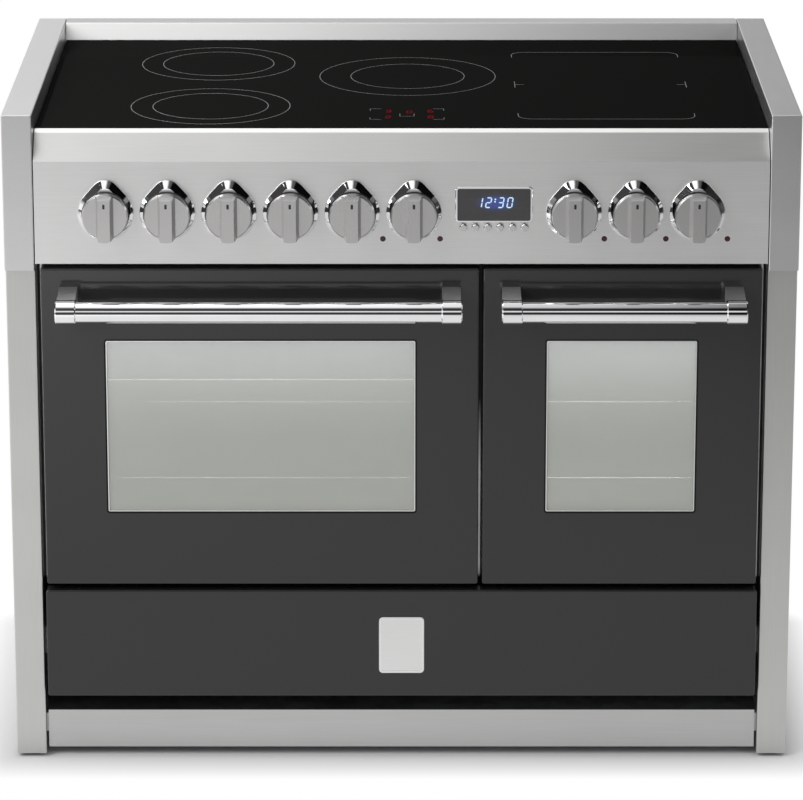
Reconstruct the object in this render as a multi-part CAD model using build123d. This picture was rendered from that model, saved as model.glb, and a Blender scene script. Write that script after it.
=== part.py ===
from build123d import *
import os
from math import sqrt

# Free-standing range cooker: induction hob, two drop-down ovens side by side and a storage drawer.
# Millimetres. X runs across the front, Y runs back from the front and Z is up.
# Every piece is drawn with Y = 0 on the front plane of the control panel, and is moved back at the
# end, so that the origin lies on the floor under the middle of the whole cooker.

# Overall size
WIDTH = 1000.0
HEIGHT = 860.0
DEPTH = 600.0
FOOT_GAP = 5.0

# Sheet metal and fits
SHEET = 2.0
SEAM = 1.0
FIT = 0.3
RUNNING = 0.05
EDGE_ROUND = 1.5

# Side casing: a lower panel and a deeper cheek above it on each side
SIDE_WIDTH = 38.0
SIDE_SETBACK = 16.0
CHEEK_HEIGHT = 200.0

# Base
PLINTH_SETBACK = 22.0
PLINTH_BOTTOM = 12.0
PLINTH_TOP = 63.0
PLINTH_GAP = 3.0
BASE_PAN_TOP = 57.0
BASE_PAN_DROP = 25.0
FOOT_RADIUS = 20.0
FOOT_PAD = 9.0
FOOT_STEM_RADIUS = 6.0
FOOT_INSET_X = 90.0
FOOT_INSET_Y = 75.0

# Hob
GLASS_THICK = 6.0
GLASS_DROP = 24.0
GLASS_FRONT = 40.0
GLASS_SEAM = 0.5
UPSTAND_DEPTH = 30.0
UPSTAND_SKIRT = 40.0
RISER_DROP = 59.0
RISER_LIP = 25.0
NOSING_RUN = 9.5
NOSING_FALL = 4.5
NOSING_ROUND = 6.0
LEDGE_WIDTH = 18.0
COIL_THICK = 8.0
COIL_BORE_RADIUS = 22.0
COIL_TRAY_DROP = 24.0
TRAY_LIP = 10.0
SIDE_ZONE_X = 245.0
SIDE_ZONE_FRONT_INSET = 120.0
SIDE_ZONE_BACK_INSET = 154.0
SIDE_ZONE_GAP = 64.0
MIDDLE_ZONE_X = 8.0
MIDDLE_ZONE_SHIFT = 33.0
MIDDLE_ZONE_RADIUS = 116.0
BRIDGE_ZONE_X = 261.0
BRIDGE_ZONE_FRONT_INSET = 150.0
BRIDGE_ZONE_BACK_INSET = 185.0
BRIDGE_ZONE_GAP = 11.0
BOARD_SIZE = (260.0, 300.0, 3.0)
BOARD_STANDOFF = 10.0
HEAT_SINK_SIZE = (70.0, 180.0, 36.0)
HEAT_SINK_FIN = 3.0
HEAT_SINK_FINS = 7

# Control panel
PANEL_HEIGHT = 132.0
KNOB_PITCH = 77.3
KNOB_OUTER_X = 371.0
LEFT_KNOBS = 6
RIGHT_KNOBS = 3
COLLAR_RADIUS = 35.0
COLLAR_NOSE_RADIUS = 19.0
COLLAR_NOSE_RISE = 24.0
COLLAR_DEPTH = 11.0
COLLAR_SLOPE = 8.5
COLLAR_ROUND = 1.5
KNOB_RADIUS = 29.0
KNOB_DISC = 11.0
KNOB_EDGE = 1.5
KNOB_GRIP_HEIGHT = 17.0
KNOB_GRIP_BASE = 22.0
KNOB_GRIP_FRONT = 15.0
KNOB_GRIP_BEVEL = 4.0
SPINDLE_RADIUS = 4.0
SPINDLE_SOCKET = 9.0
SPINDLE_REACH = 16.0
SWITCH_SIZE = 38.0
SWITCH_DEPTH = 28.0
DISPLAY_SIZE = (97.0, 46.5)
DISPLAY_BORDER = 2.6
DISPLAY_ROUND = 5.0
DISPLAY_PROUD = 2.0
DISPLAY_RISE = 11.0
LENS_THICK = 2.5
LENS_RECESS = 1.0
CLOCK_DEPTH = 24.0
BUTTONS = 6
BUTTON_PITCH = 15.4
BUTTON_RADIUS = 4.8
BUTTON_PROUD = 4.0
BUTTON_STEM = 8.0
BUTTON_TRAVEL = 1.5
BUTTON_DROP = 18.5
LAMP_RADIUS = 3.6
LAMP_PROUD = 1.0
LAMP_BODY = 6.0
LAMP_SIDE = 38.4
LAMP_SIDE_AT_DISPLAY = 33.0
LAMP_DROP = 33.5

# Doors
DOOR_TOP_GAP = 6.5
DOOR_BOTTOM_GAP = 8.5
DOOR_SIDE_GAP = 7.0
DOOR_SPLIT_LEFT = 98.0
DOOR_SPLIT_RIGHT = 103.0
DOOR_PANEL_DEPTH = 20.0
DOOR_LINER_DEPTH = 20.0
DOOR_ROUND = 3.0
DOOR_FOLD_ROUND = 2.2
WINDOW_TOP_MARGIN = 94.5
WINDOW_BOTTOM_MARGIN = 98.0
LEFT_WINDOW_WIDTH = 392.0
RIGHT_WINDOW_WIDTH = 190.0
WINDOW_ROUND = 2.0
PANE_THICK = 4.0
PANE_LAP = 12.0
HINGE_RISE = 9.0
HINGE_DEPTH = 11.0
HINGE_INSET = 32.0
HINGE_ARM_THICK = 6.0
HINGE_ARM_HEIGHT = 10.0
HINGE_FOOT = 26.0
HINGE_PIN_RADIUS = 4.0
HINGE_PIN_LENGTH = 24.0
HINGE_LUG = 6.5
HINGE_CLEAR = 2.0

# Door handles
HANDLE_DROP = 43.5
HANDLE_REACH = 48.0
HANDLE_RADIUS = 13.9
HANDLE_WALL = 2.0
FERRULE_RADIUS = 15.5
FERRULE_LENGTH = 26.0
FERRULE_SOCKET = 12.0
FERRULE_EDGE = 1.5
LEFT_HANDLE_LENGTH = 509.0
RIGHT_HANDLE_LENGTH = 307.0
POST_HEIGHT = 40.0

# Ovens
SEAL_DEPTH = 5.0
SEAL_WIDTH = 9.0
SEAL_MARGIN = 6.0
CAVITY_TOP_MARGIN = 32.5
CAVITY_BOTTOM_MARGIN = 37.0
CAVITY_DEPTH = 430.0
CAVITY_ROUND = 12.0
CAVITY_FLANGE = 14.0
LEFT_CAVITY_WIDTH = 470.0
RIGHT_CAVITY_WIDTH = 270.0
FRAME_LAP = 5.0
GUIDE_WIRE = 2.5
GUIDE_LEVELS = 4
GUIDE_MARGIN = 43.0
GUIDE_CLEAR = 90.0
SHELF_FRAME_WIRE = 3.0
SHELF_ROD_WIRE = 2.0
LEFT_SHELF_RODS = 13
RIGHT_SHELF_RODS = 7
SHELF_CLEAR = 85.0
SHELF_ROUND = 14.0
GRILL_WIRE = 3.5
GRILL_DROP = 24.0
GRILL_MARGIN = 45.0
LEFT_GRILL_LOOPS = 3
RIGHT_GRILL_LOOPS = 2
BAFFLE_GAP = 34.0
BAFFLE_MARGIN = 36.0
BAFFLE_WIDTH = 300.0
BAFFLE_GRILLE_RADIUS = 60.0
FAN_RADIUS = 66.0
FAN_DEPTH = 18.0
FAN_BLADES = 12
FAN_SHAFT_RADIUS = 4.0
RING_RADIUS = 88.0
RING_WIRE = 3.5
MOTOR_RADIUS = 38.0
MOTOR_CLEAR = 20.0

# Storage drawer
DRAWER_TOP = 234.5
DRAWER_BOTTOM = 90.0
DRAWER_SIDE_GAP = 5.0
DRAWER_FRONT_DEPTH = 20.0
DRAWER_BACK_CLEAR = 80.0
DRAWER_BOX_TOP = 205.0
DRAWER_BOX_BOTTOM = 97.0
RUNNER_WIDTH = 14.0
RUNNER_HEIGHT = 36.0
RUNNER_RISE = 150.0
RUNNER_START = 50.0
RUNNER_BACK_CLEAR = 50.0
SLIDE_GAP = 0.5

# Back
REAR_INSET = 30.0
LOUVRE_SIZE = (90.0, 8.0)
LOUVRE_PITCH = 18.0
LOUVRE_ROWS = 5
LOUVRE_COLUMNS = 3
TERMINAL_SIZE = (130.0, 28.0, 90.0)
TERMINAL_INSET = 162.0
TERMINAL_Z = 130.0
GLAND_RADIUS = 12.0
GLAND_BORE_RADIUS = 8.0
GLAND_LENGTH = 14.0

# Places worked out from the sizes above
INNER_X = WIDTH / 2 - SIDE_WIDTH
SIDE_TOP = HEIGHT - CHEEK_HEIGHT
GLASS_TOP = HEIGHT - GLASS_DROP
LEDGE_TOP = GLASS_TOP - GLASS_THICK
GLASS_BACK = DEPTH - UPSTAND_DEPTH
PANEL_TOP = HEIGHT - RISER_DROP
PANEL_BOTTOM = PANEL_TOP - PANEL_HEIGHT
PANEL_X = INNER_X - SEAM
KNOB_Z = (PANEL_TOP + PANEL_BOTTOM) / 2
REAR_PANEL_DEPTH = DEPTH - REAR_INSET
TERMINAL_X = TERMINAL_INSET - INNER_X
SIDE_ZONE_FRONT = GLASS_FRONT + SIDE_ZONE_FRONT_INSET
SIDE_ZONE_BACK = GLASS_BACK - SIDE_ZONE_BACK_INSET
SIDE_ZONE_RADIUS = (SIDE_ZONE_BACK - SIDE_ZONE_FRONT - SIDE_ZONE_GAP) / 2
MIDDLE_ZONE_Y = (GLASS_FRONT + GLASS_BACK) / 2 + MIDDLE_ZONE_SHIFT
BRIDGE_ZONE_FRONT = GLASS_FRONT + BRIDGE_ZONE_FRONT_INSET
BRIDGE_ZONE_BACK = GLASS_BACK - BRIDGE_ZONE_BACK_INSET
BRIDGE_ZONE_RADIUS = (BRIDGE_ZONE_BACK - BRIDGE_ZONE_FRONT - BRIDGE_ZONE_GAP) / 2
DOOR_TOP = PANEL_BOTTOM - DOOR_TOP_GAP
DOOR_BOTTOM = DRAWER_TOP + DOOR_BOTTOM_GAP
WINDOW_TOP = DOOR_TOP - WINDOW_TOP_MARGIN
WINDOW_BOTTOM = DOOR_BOTTOM + WINDOW_BOTTOM_MARGIN
HANDLE_RISE = DOOR_TOP - HANDLE_DROP
DOOR_DEPTH = DOOR_PANEL_DEPTH + DOOR_LINER_DEPTH
FRAME_FRONT = DOOR_DEPTH + SEAL_DEPTH
FRAME_BACK = FRAME_FRONT + SHEET
FRAME_BOTTOM = DOOR_BOTTOM - FRAME_LAP
CAVITY_BACK = FRAME_BACK + CAVITY_DEPTH
CAVITY_TOP = DOOR_TOP - CAVITY_TOP_MARGIN
CAVITY_BOTTOM = DOOR_BOTTOM + CAVITY_BOTTOM_MARGIN
CAVITY_HEIGHT = CAVITY_TOP - CAVITY_BOTTOM
GUIDE_PITCH = (CAVITY_HEIGHT - 2 * GUIDE_MARGIN) / GUIDE_LEVELS
GUIDE_LENGTH = CAVITY_DEPTH - GUIDE_CLEAR
SHELF_DEPTH = CAVITY_DEPTH - SHELF_CLEAR
BAFFLE_HEIGHT = CAVITY_HEIGHT - 2 * BAFFLE_MARGIN
MOTOR_DEPTH = REAR_PANEL_DEPTH - CAVITY_BACK - MOTOR_CLEAR
DRAWER_BOX_DEPTH = REAR_PANEL_DEPTH - DRAWER_FRONT_DEPTH - DRAWER_BACK_CLEAR
RUNNER_LENGTH = REAR_PANEL_DEPTH - RUNNER_START - RUNNER_BACK_CLEAR
DOOR_X = INNER_X - DOOR_SIDE_GAP
LEFT_DOOR = (-DOOR_X, DOOR_SPLIT_LEFT)
RIGHT_DOOR = (DOOR_SPLIT_RIGHT, DOOR_X)
LEFT_OVEN_X = sum(LEFT_DOOR) / 2
RIGHT_OVEN_X = sum(RIGHT_DOOR) / 2
HINGE_Z = DOOR_BOTTOM + HINGE_RISE
DRAWER_X = INNER_X - DRAWER_SIDE_GAP
HANDLE_FRONT = HANDLE_REACH + FERRULE_RADIUS
FRONT_SHIFT = (HANDLE_FRONT - DEPTH) / 2
CAVITY_MIDDLE = (CAVITY_TOP + CAVITY_BOTTOM) / 2
GUIDE_RAIL_INSET = 2.8 * GUIDE_WIRE
SHELF_INSET = 2 * GUIDE_WIRE + FIT + SHELF_FRAME_WIRE
SHELF_REACH = GUIDE_WIRE + SHELF_FRAME_WIRE + RUNNING
SHELF_RISE = sqrt(SHELF_REACH**2 - (SHELF_INSET - GUIDE_RAIL_INSET) ** 2)
KNOB_XS = [-KNOB_OUTER_X + i * KNOB_PITCH for i in range(LEFT_KNOBS)]
KNOB_XS += [KNOB_OUTER_X - i * KNOB_PITCH for i in reversed(range(RIGHT_KNOBS))]
DISPLAY_X = (KNOB_XS[LEFT_KNOBS - 1] + KNOB_XS[LEFT_KNOBS]) / 2
DISPLAY_Z = KNOB_Z + DISPLAY_RISE
BUTTON_Z = KNOB_Z - BUTTON_DROP
BUTTON_XS = [DISPLAY_X + (i - (BUTTONS - 1) / 2) * BUTTON_PITCH for i in range(BUTTONS)]
LAMP_Z = KNOB_Z - LAMP_DROP
LAMP_KNOBS = range(LEFT_KNOBS - 2, LEFT_KNOBS + RIGHT_KNOBS)
FAN_FRONT = CAVITY_BACK - SHEET - BAFFLE_GAP / 2 - FAN_DEPTH / 2


def block(x, y, z):
    """A rectangular block between a low and a high limit on each axis."""
    size = [high - low for low, high in (x, y, z)]
    middle = [(high + low) / 2 for low, high in (x, y, z)]
    return Pos(*middle) * Box(*size)


def facing(x, z, y=0.0):
    """A plane that looks out of the front, with its own x to the right and its own y up."""
    return Plane(origin=(x, y, z), x_dir=(1, 0, 0), z_dir=(0, -1, 0))


def across(profile, half_width):
    """A profile drawn in depth and height, extruded to both sides of the middle."""
    return extrude(Plane.YZ * profile, half_width, both=True)


def rounded_plate(x, z, y, corner):
    """An upright plate between limits, with rounded corners seen from the front."""
    outline = RectangleRounded(x[1] - x[0], z[1] - z[0], corner)
    plane = facing((x[0] + x[1]) / 2, (z[0] + z[1]) / 2, y[1])
    return plane * extrude(outline, y[1] - y[0])


def rod(start, end, radius):
    """A straight round bar between two points."""
    line = Vector(*end) - Vector(*start)
    return Solid.make_cylinder(radius, line.length, Plane(origin=start, z_dir=line))


def bent_rod(points, corner, radius, closed=False):
    """A round wire along straight runs with rounded corners."""
    path = FilletPolyline(*points, radius=corner, close=closed)
    start = Plane(origin=path @ 0, z_dir=path % 0)
    return sweep(start * Circle(radius), path=path)


def mirrored_pair(shape):
    """A piece and its mirror image on the other side of the cooker."""
    return [shape, mirror(shape, about=Plane.YZ)]


def side_panel():
    """Right lower side panel: a rectangular sheet tube, open above and below."""
    x = (INNER_X, WIDTH / 2)
    y = (SIDE_SETBACK, DEPTH)
    outer = block(x, y, (FOOT_GAP, SIDE_TOP))
    corners = outer.edges().filter_by(Axis.Z).sort_by(Axis.Y)[:2]
    hollow = block((x[0] + SHEET, x[1] - SHEET), (y[0] + SHEET, y[1] - SHEET), (FOOT_GAP, SIDE_TOP))
    return fillet(corners, EDGE_ROUND) - hollow


def cheek():
    """Right upper cheek: a folded box, open below, that frames the hob and the control panel."""
    x = (INNER_X, WIDTH / 2)
    outer = block(x, (0, DEPTH), (SIDE_TOP, HEIGHT))
    top_edges = outer.faces().sort_by(Axis.Z)[-1].edges()
    front_edges = outer.faces().sort_by(Axis.Y)[0].edges().filter_by(Axis.Z)
    hollow = block((x[0] + SHEET, x[1] - SHEET), (SHEET, DEPTH - SHEET), (SIDE_TOP, HEIGHT - SHEET))
    return fillet(top_edges + front_edges, EDGE_ROUND) - hollow


def base_pan():
    """Bottom pan: a sheet floor with flanges folded down all round and a boss over each foot."""
    y = (PLINTH_SETBACK + PLINTH_GAP + SHEET, REAR_PANEL_DEPTH)
    low = BASE_PAN_TOP - BASE_PAN_DROP
    pan = block((-INNER_X, INNER_X), y, (low, BASE_PAN_TOP))
    inside = (-INNER_X + SHEET, INNER_X - SHEET)
    pan -= block(inside, (y[0] + SHEET, y[1] - SHEET), (low, BASE_PAN_TOP - SHEET))
    boss = Cylinder(FOOT_STEM_RADIUS + 3 * SHEET, BASE_PAN_DROP / 2, align=(Align.CENTER, Align.CENTER, Align.MAX))
    for x, depth in foot_places():
        pan += Pos(x, depth, BASE_PAN_TOP - SHEET) * boss
    return pan


def foot_places():
    """Where the four feet stand, as places across and in depth."""
    xs = (FOOT_INSET_X - WIDTH / 2, WIDTH / 2 - FOOT_INSET_X)
    return [(x, depth) for x in xs for depth in (FOOT_INSET_Y, DEPTH - FOOT_INSET_Y)]


def levelling_feet():
    """Four screw feet: a chamfered pad with a stem that ends under the pan's boss."""
    stem_top = BASE_PAN_TOP - SHEET - BASE_PAN_DROP / 2
    pad_edge = FOOT_PAD / 3
    outline = Polyline(
        (0, 0),
        (FOOT_RADIUS, 0),
        (FOOT_RADIUS, FOOT_PAD - pad_edge),
        (FOOT_RADIUS - pad_edge, FOOT_PAD),
        (FOOT_STEM_RADIUS, FOOT_PAD),
        (FOOT_STEM_RADIUS, stem_top),
        (0, stem_top),
        close=True,
    )
    foot = revolve(Plane.XZ * make_face(outline), Axis.Z)
    return [Pos(x, depth, 0) * foot for x, depth in foot_places()]


def plinth():
    """Kick strip: a folded angle with its upper flange carried back to the bottom pan."""
    x = (-INNER_X + PLINTH_GAP, INNER_X - PLINTH_GAP)
    back = PLINTH_SETBACK + PLINTH_GAP + SHEET
    strip = block(x, (PLINTH_SETBACK, PLINTH_SETBACK + SHEET), (PLINTH_BOTTOM, PLINTH_TOP))
    flange = block(x, (PLINTH_SETBACK, back), (BASE_PAN_TOP - 2 * SHEET, BASE_PAN_TOP - SHEET))
    cap = block(x, (PLINTH_SETBACK, back), (PLINTH_TOP - SHEET, PLINTH_TOP))
    return strip + flange + cap


def rear_panel():
    """Back sheet with rows of louvre slots below the hob."""
    x = (-INNER_X, INNER_X)
    y = (REAR_PANEL_DEPTH, REAR_PANEL_DEPTH + SHEET)
    panel = block(x, y, (BASE_PAN_TOP - BASE_PAN_DROP, LEDGE_TOP - SHEET))
    middle = (PANEL_TOP + PANEL_BOTTOM) / 2
    slot = extrude(SlotOverall(*LOUVRE_SIZE), 2 * SHEET, both=True)
    for column in range(LOUVRE_COLUMNS):
        slot_x = (column - (LOUVRE_COLUMNS - 1) / 2) * WIDTH / (LOUVRE_COLUMNS + 1)
        for row in range(LOUVRE_ROWS):
            slot_z = middle + (row - (LOUVRE_ROWS - 1) / 2) * LOUVRE_PITCH
            panel -= facing(slot_x, slot_z, REAR_PANEL_DEPTH) * slot
    return panel


def terminal_box():
    """Mains terminal cover on the back, with a cable gland below it."""
    width, depth, height = TERMINAL_SIZE
    x = (TERMINAL_X - width / 2, TERMINAL_X + width / 2)
    y = (REAR_PANEL_DEPTH + SHEET, REAR_PANEL_DEPTH + depth)
    z = (TERMINAL_Z, TERMINAL_Z + height)
    box = block(x, y, z)
    box = fillet(box.edges().filter_by(Axis.Z).sort_by(Axis.Y)[-2:], 2 * EDGE_ROUND)
    box -= block((x[0] + SHEET, x[1] - SHEET), (y[0], y[1] - SHEET), (z[0] + SHEET, z[1] - SHEET))
    gland_place = Pos(TERMINAL_X, (y[0] + y[1]) / 2, z[0])
    align = (Align.CENTER, Align.CENTER, Align.MAX)
    box += gland_place * Cylinder(GLAND_RADIUS, GLAND_LENGTH, align=align)
    bore = Cylinder(GLAND_BORE_RADIUS, 2 * (GLAND_LENGTH + SHEET))
    return box - gland_place * bore


def hob_frame():
    """Worktop: one folded sheet that makes the sloping front, the glass ledge and the rear upstand."""
    nose_back = GLASS_FRONT - GLASS_SEAM
    outside = [
        (RISER_LIP, PANEL_TOP),
        (0, PANEL_TOP),
        (nose_back - NOSING_RUN, GLASS_TOP - NOSING_FALL),
        (nose_back, GLASS_TOP),
        (nose_back, LEDGE_TOP),
        (GLASS_BACK, LEDGE_TOP),
        (GLASS_BACK, HEIGHT),
        (DEPTH, HEIGHT),
        (DEPTH, HEIGHT - UPSTAND_SKIRT),
    ]
    sheet = across(folded_strip(outside, -SHEET), PANEL_X)
    crest = [e for e in sheet.edges() if is_at(e, nose_back - NOSING_RUN, GLASS_TOP - NOSING_FALL)]
    sheet = fillet(crest, NOSING_ROUND)
    rims = [(nose_back, GLASS_TOP), (GLASS_BACK, HEIGHT)]
    sheet = fillet([e for e in sheet.edges() if any(is_at(e, *rim) for rim in rims)], EDGE_ROUND)
    mouth_y = (GLASS_FRONT + LEDGE_WIDTH, GLASS_BACK - LEDGE_WIDTH)
    mouth_x = (LEDGE_WIDTH - PANEL_X, PANEL_X - LEDGE_WIDTH)
    return sheet - block(mouth_x, mouth_y, (LEDGE_TOP - 2 * SHEET, LEDGE_TOP + SHEET))


def is_at(edge, y, z):
    """Whether an edge runs across the cooker at this depth and height."""
    middle = edge.center()
    return abs(middle.Y - y) + abs(middle.Z - z) < SHEET / 10 and abs(middle.X) < SHEET / 10


def folded_strip(points, thickness):
    """The section of a sheet bent along a line of corners; a positive thickness lies left of the line."""
    directions = [(Vector(*b) - Vector(*a)).normalized() for a, b in zip(points, points[1:])]
    normals = [Vector(-d.Y, d.X) for d in directions]
    inner = [Vector(*points[0]) + normals[0] * thickness]
    for point, before, after in zip(points[1:-1], normals, normals[1:]):
        inner.append(Vector(*point) + (before + after) * (thickness / (1 + before.dot(after))))
    inner.append(Vector(*points[-1]) + normals[-1] * thickness)
    return make_face(Polyline(*[Vector(*p) for p in points], *reversed(inner), close=True))


def hob_glass():
    """Black glass plate that lies on the worktop's ledge, with its upper edge eased."""
    x = PANEL_X - GLASS_SEAM
    plate = block((-x, x), (GLASS_FRONT, GLASS_BACK - GLASS_SEAM), (LEDGE_TOP, GLASS_TOP))
    return chamfer(plate.faces().sort_by(Axis.Z)[-1].edges(), GLASS_SEAM)


def coil_places():
    """The centre and the outer radius of each induction coil."""
    return [
        (-SIDE_ZONE_X, SIDE_ZONE_FRONT, SIDE_ZONE_RADIUS),
        (-SIDE_ZONE_X, SIDE_ZONE_BACK, SIDE_ZONE_RADIUS),
        (MIDDLE_ZONE_X, MIDDLE_ZONE_Y, MIDDLE_ZONE_RADIUS),
        (BRIDGE_ZONE_X, BRIDGE_ZONE_FRONT, BRIDGE_ZONE_RADIUS),
        (BRIDGE_ZONE_X, BRIDGE_ZONE_BACK, BRIDGE_ZONE_RADIUS),
    ]


def induction_coils():
    """Flat ring windings on their carriers, standing on the tray just under the glass."""
    floor = LEDGE_TOP - COIL_TRAY_DROP
    height = COIL_TRAY_DROP - FIT
    coils = []
    for x, y, radius in coil_places():
        carrier = Cylinder(COIL_BORE_RADIUS + COIL_THICK, height, align=(Align.CENTER, Align.CENTER, Align.MIN))
        winding = Cylinder(radius, COIL_THICK, align=(Align.CENTER, Align.CENTER, Align.MIN))
        coil = carrier + Pos(0, 0, height - COIL_THICK) * winding
        bore = Cylinder(COIL_BORE_RADIUS, 4 * height)
        coils.append(Pos(x, y, floor) * (coil - bore))
    return coils


def coil_tray():
    """Tray under the coils, hung by its rim from the worktop's ledge."""
    low = LEDGE_TOP - COIL_TRAY_DROP - SHEET
    top = LEDGE_TOP - SHEET
    mouth_y = (GLASS_FRONT + LEDGE_WIDTH, GLASS_BACK - LEDGE_WIDTH)
    mouth_x = (LEDGE_WIDTH - PANEL_X, PANEL_X - LEDGE_WIDTH)
    tray = block(mouth_x, mouth_y, (low, top))
    tray += block(
        (mouth_x[0] - TRAY_LIP, mouth_x[1] + TRAY_LIP),
        (mouth_y[0] - TRAY_LIP, mouth_y[1] + TRAY_LIP),
        (top - SHEET, top),
    )
    inside_x = (mouth_x[0] + SHEET, mouth_x[1] - SHEET)
    return tray - block(inside_x, (mouth_y[0] + SHEET, mouth_y[1] - SHEET), (low + SHEET, top))


def power_boards():
    """Two induction power boards under the tray, each with a finned heat sink."""
    top = LEDGE_TOP - COIL_TRAY_DROP - SHEET
    width, length, thick = BOARD_SIZE
    sink_width, sink_length, sink_height = HEAT_SINK_SIZE
    middle = (GLASS_FRONT + GLASS_BACK) / 2
    align = (Align.CENTER, Align.CENTER, Align.MAX)
    board = Pos(0, 0, -BOARD_STANDOFF) * Box(width, length, thick, align=align)
    for x in (-width / 2 + BOARD_STANDOFF, width / 2 - BOARD_STANDOFF):
        for y in (-length / 2 + BOARD_STANDOFF, length / 2 - BOARD_STANDOFF):
            board += Pos(x, y, 0) * Cylinder(thick, BOARD_STANDOFF, align=align)
    sink_top = -BOARD_STANDOFF - thick
    sink = Pos(0, 0, sink_top) * Box(sink_width, sink_length, 2 * HEAT_SINK_FIN, align=align)
    pitch = (sink_width - HEAT_SINK_FIN) / (HEAT_SINK_FINS - 1)
    for i in range(HEAT_SINK_FINS):
        fin_x = (i - (HEAT_SINK_FINS - 1) / 2) * pitch
        sink += Pos(fin_x, 0, sink_top) * Box(HEAT_SINK_FIN, sink_length, sink_height, align=align)
    return [Pos(x, middle, top) * (board + sink) for x in (-WIDTH / 4, WIDTH / 4)]


def control_panel():
    """Folded fascia with the holes for the spindles, the display, the buttons and the lamps."""
    outside = [(FRAME_BACK, PANEL_BOTTOM), (0, PANEL_BOTTOM), (0, PANEL_TOP), (RISER_LIP, PANEL_TOP)]
    outside.reverse()
    panel = across(folded_strip(outside, SHEET), PANEL_X)
    cut = 4 * SHEET
    for x in KNOB_XS:
        panel -= facing(x, KNOB_Z) * Cylinder(SPINDLE_RADIUS + SEAM, cut)
    for x in BUTTON_XS:
        panel -= facing(x, BUTTON_Z) * Cylinder(BUTTON_RADIUS + FIT, cut)
    for x in lamp_xs():
        panel -= facing(x, LAMP_Z) * Cylinder(LAMP_RADIUS, cut)
    window = RectangleRounded(*display_opening(), DISPLAY_ROUND - DISPLAY_BORDER)
    return panel - facing(DISPLAY_X, DISPLAY_Z, cut / 2) * extrude(window, cut)


def display_opening():
    """Width and height of the hole inside the display's border."""
    return [side - 2 * DISPLAY_BORDER for side in DISPLAY_SIZE]


def lamp_xs():
    """Where the pilot lamps sit: to the right of the last hob knobs and of the oven knobs."""
    beside_display = LEFT_KNOBS - 1
    sides = [LAMP_SIDE_AT_DISPLAY if i == beside_display else LAMP_SIDE for i in LAMP_KNOBS]
    return [KNOB_XS[i] + side for i, side in zip(LAMP_KNOBS, sides)]


def knob_collars():
    """Fixed polished collars: a ring drawn up into a pointer nose, sloping from under the knob to its rim."""
    nose = Pos(0, COLLAR_NOSE_RISE) * Circle(COLLAR_NOSE_RADIUS)
    outline = make_hull(Circle(COLLAR_RADIUS).edges() + nose.edges())
    collar = extrude(outline, COLLAR_DEPTH)
    collar = chamfer(collar.faces().sort_by(Axis.Z)[-1].edges(), COLLAR_SLOPE)
    rim = collar.edges().filter_by(lambda edge: abs(edge.center().Z - COLLAR_DEPTH + COLLAR_SLOPE) < FIT)
    collar = fillet(rim, COLLAR_ROUND)
    collar -= Cylinder(SPINDLE_RADIUS + SEAM, 4 * COLLAR_DEPTH)
    return [facing(x, KNOB_Z) * collar for x in KNOB_XS]


def knob():
    """One knob, lying on its back: a bevelled disc with a tapered grip bar, and its spindle."""
    low = COLLAR_DEPTH + FIT
    face = low + KNOB_DISC
    front = face + KNOB_GRIP_HEIGHT
    disc = Pos(0, 0, low) * Cylinder(KNOB_RADIUS, KNOB_DISC, align=(Align.CENTER, Align.CENTER, Align.MIN))
    disc = chamfer(disc.faces().sort_by(Axis.Z)[-1].edges(), KNOB_EDGE)
    side_view = Polyline(
        (-KNOB_RADIUS, low),
        (KNOB_RADIUS, low),
        (KNOB_RADIUS, face),
        (KNOB_RADIUS - KNOB_GRIP_BEVEL, front),
        (-KNOB_RADIUS, front),
        close=True,
    )
    end_view = Polyline(
        (-KNOB_GRIP_BASE / 2, low),
        (KNOB_GRIP_BASE / 2, low),
        (KNOB_GRIP_BASE / 2, face),
        (KNOB_GRIP_FRONT / 2, front),
        (-KNOB_GRIP_FRONT / 2, front),
        (-KNOB_GRIP_BASE / 2, face),
        close=True,
    )
    grip = extrude(Plane.YZ * make_face(side_view), KNOB_RADIUS, both=True)
    grip &= extrude(Plane.XZ * make_face(end_view), KNOB_RADIUS, both=True)
    grip &= Cylinder(KNOB_RADIUS, 4 * front)
    socket = Pos(0, 0, low) * Cylinder(SPINDLE_RADIUS, 2 * SPINDLE_SOCKET)
    reach = SPINDLE_REACH + low + SPINDLE_SOCKET
    spindle = Cylinder(SPINDLE_RADIUS, reach, align=(Align.CENTER, Align.CENTER, Align.MIN))
    return [disc + grip - socket, Pos(0, 0, -SPINDLE_REACH) * spindle]


def switch_bodies():
    """Rotary switches behind the panel, each bored for its spindle."""
    outline = RectangleRounded(SWITCH_SIZE, SWITCH_SIZE, 4 * EDGE_ROUND)
    body = extrude(outline, -SWITCH_DEPTH)
    bore = Cylinder(SPINDLE_RADIUS + RUNNING, 2 * (SPINDLE_REACH - SHEET + SEAM))
    return [facing(x, KNOB_Z, SHEET) * (body - bore) for x in KNOB_XS]


def display_bezel():
    """Raised rounded border round the clock display."""
    border = RectangleRounded(*DISPLAY_SIZE, DISPLAY_ROUND)
    border -= RectangleRounded(*display_opening(), DISPLAY_ROUND - DISPLAY_BORDER)
    ring = extrude(border, DISPLAY_PROUD)
    outer = ring.faces().sort_by(Axis.Z)[-1].outer_wire().edges()
    return facing(DISPLAY_X, DISPLAY_Z) * chamfer(outer, DISPLAY_PROUD / 3)


def display_window():
    """Smoked lens that fills the border's opening."""
    width, height = display_opening()
    lens = RectangleRounded(width - 2 * FIT, height - 2 * FIT, DISPLAY_ROUND - DISPLAY_BORDER)
    back = LENS_THICK + LENS_RECESS - DISPLAY_PROUD
    return facing(DISPLAY_X, DISPLAY_Z, back) * extrude(lens, LENS_THICK)


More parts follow.
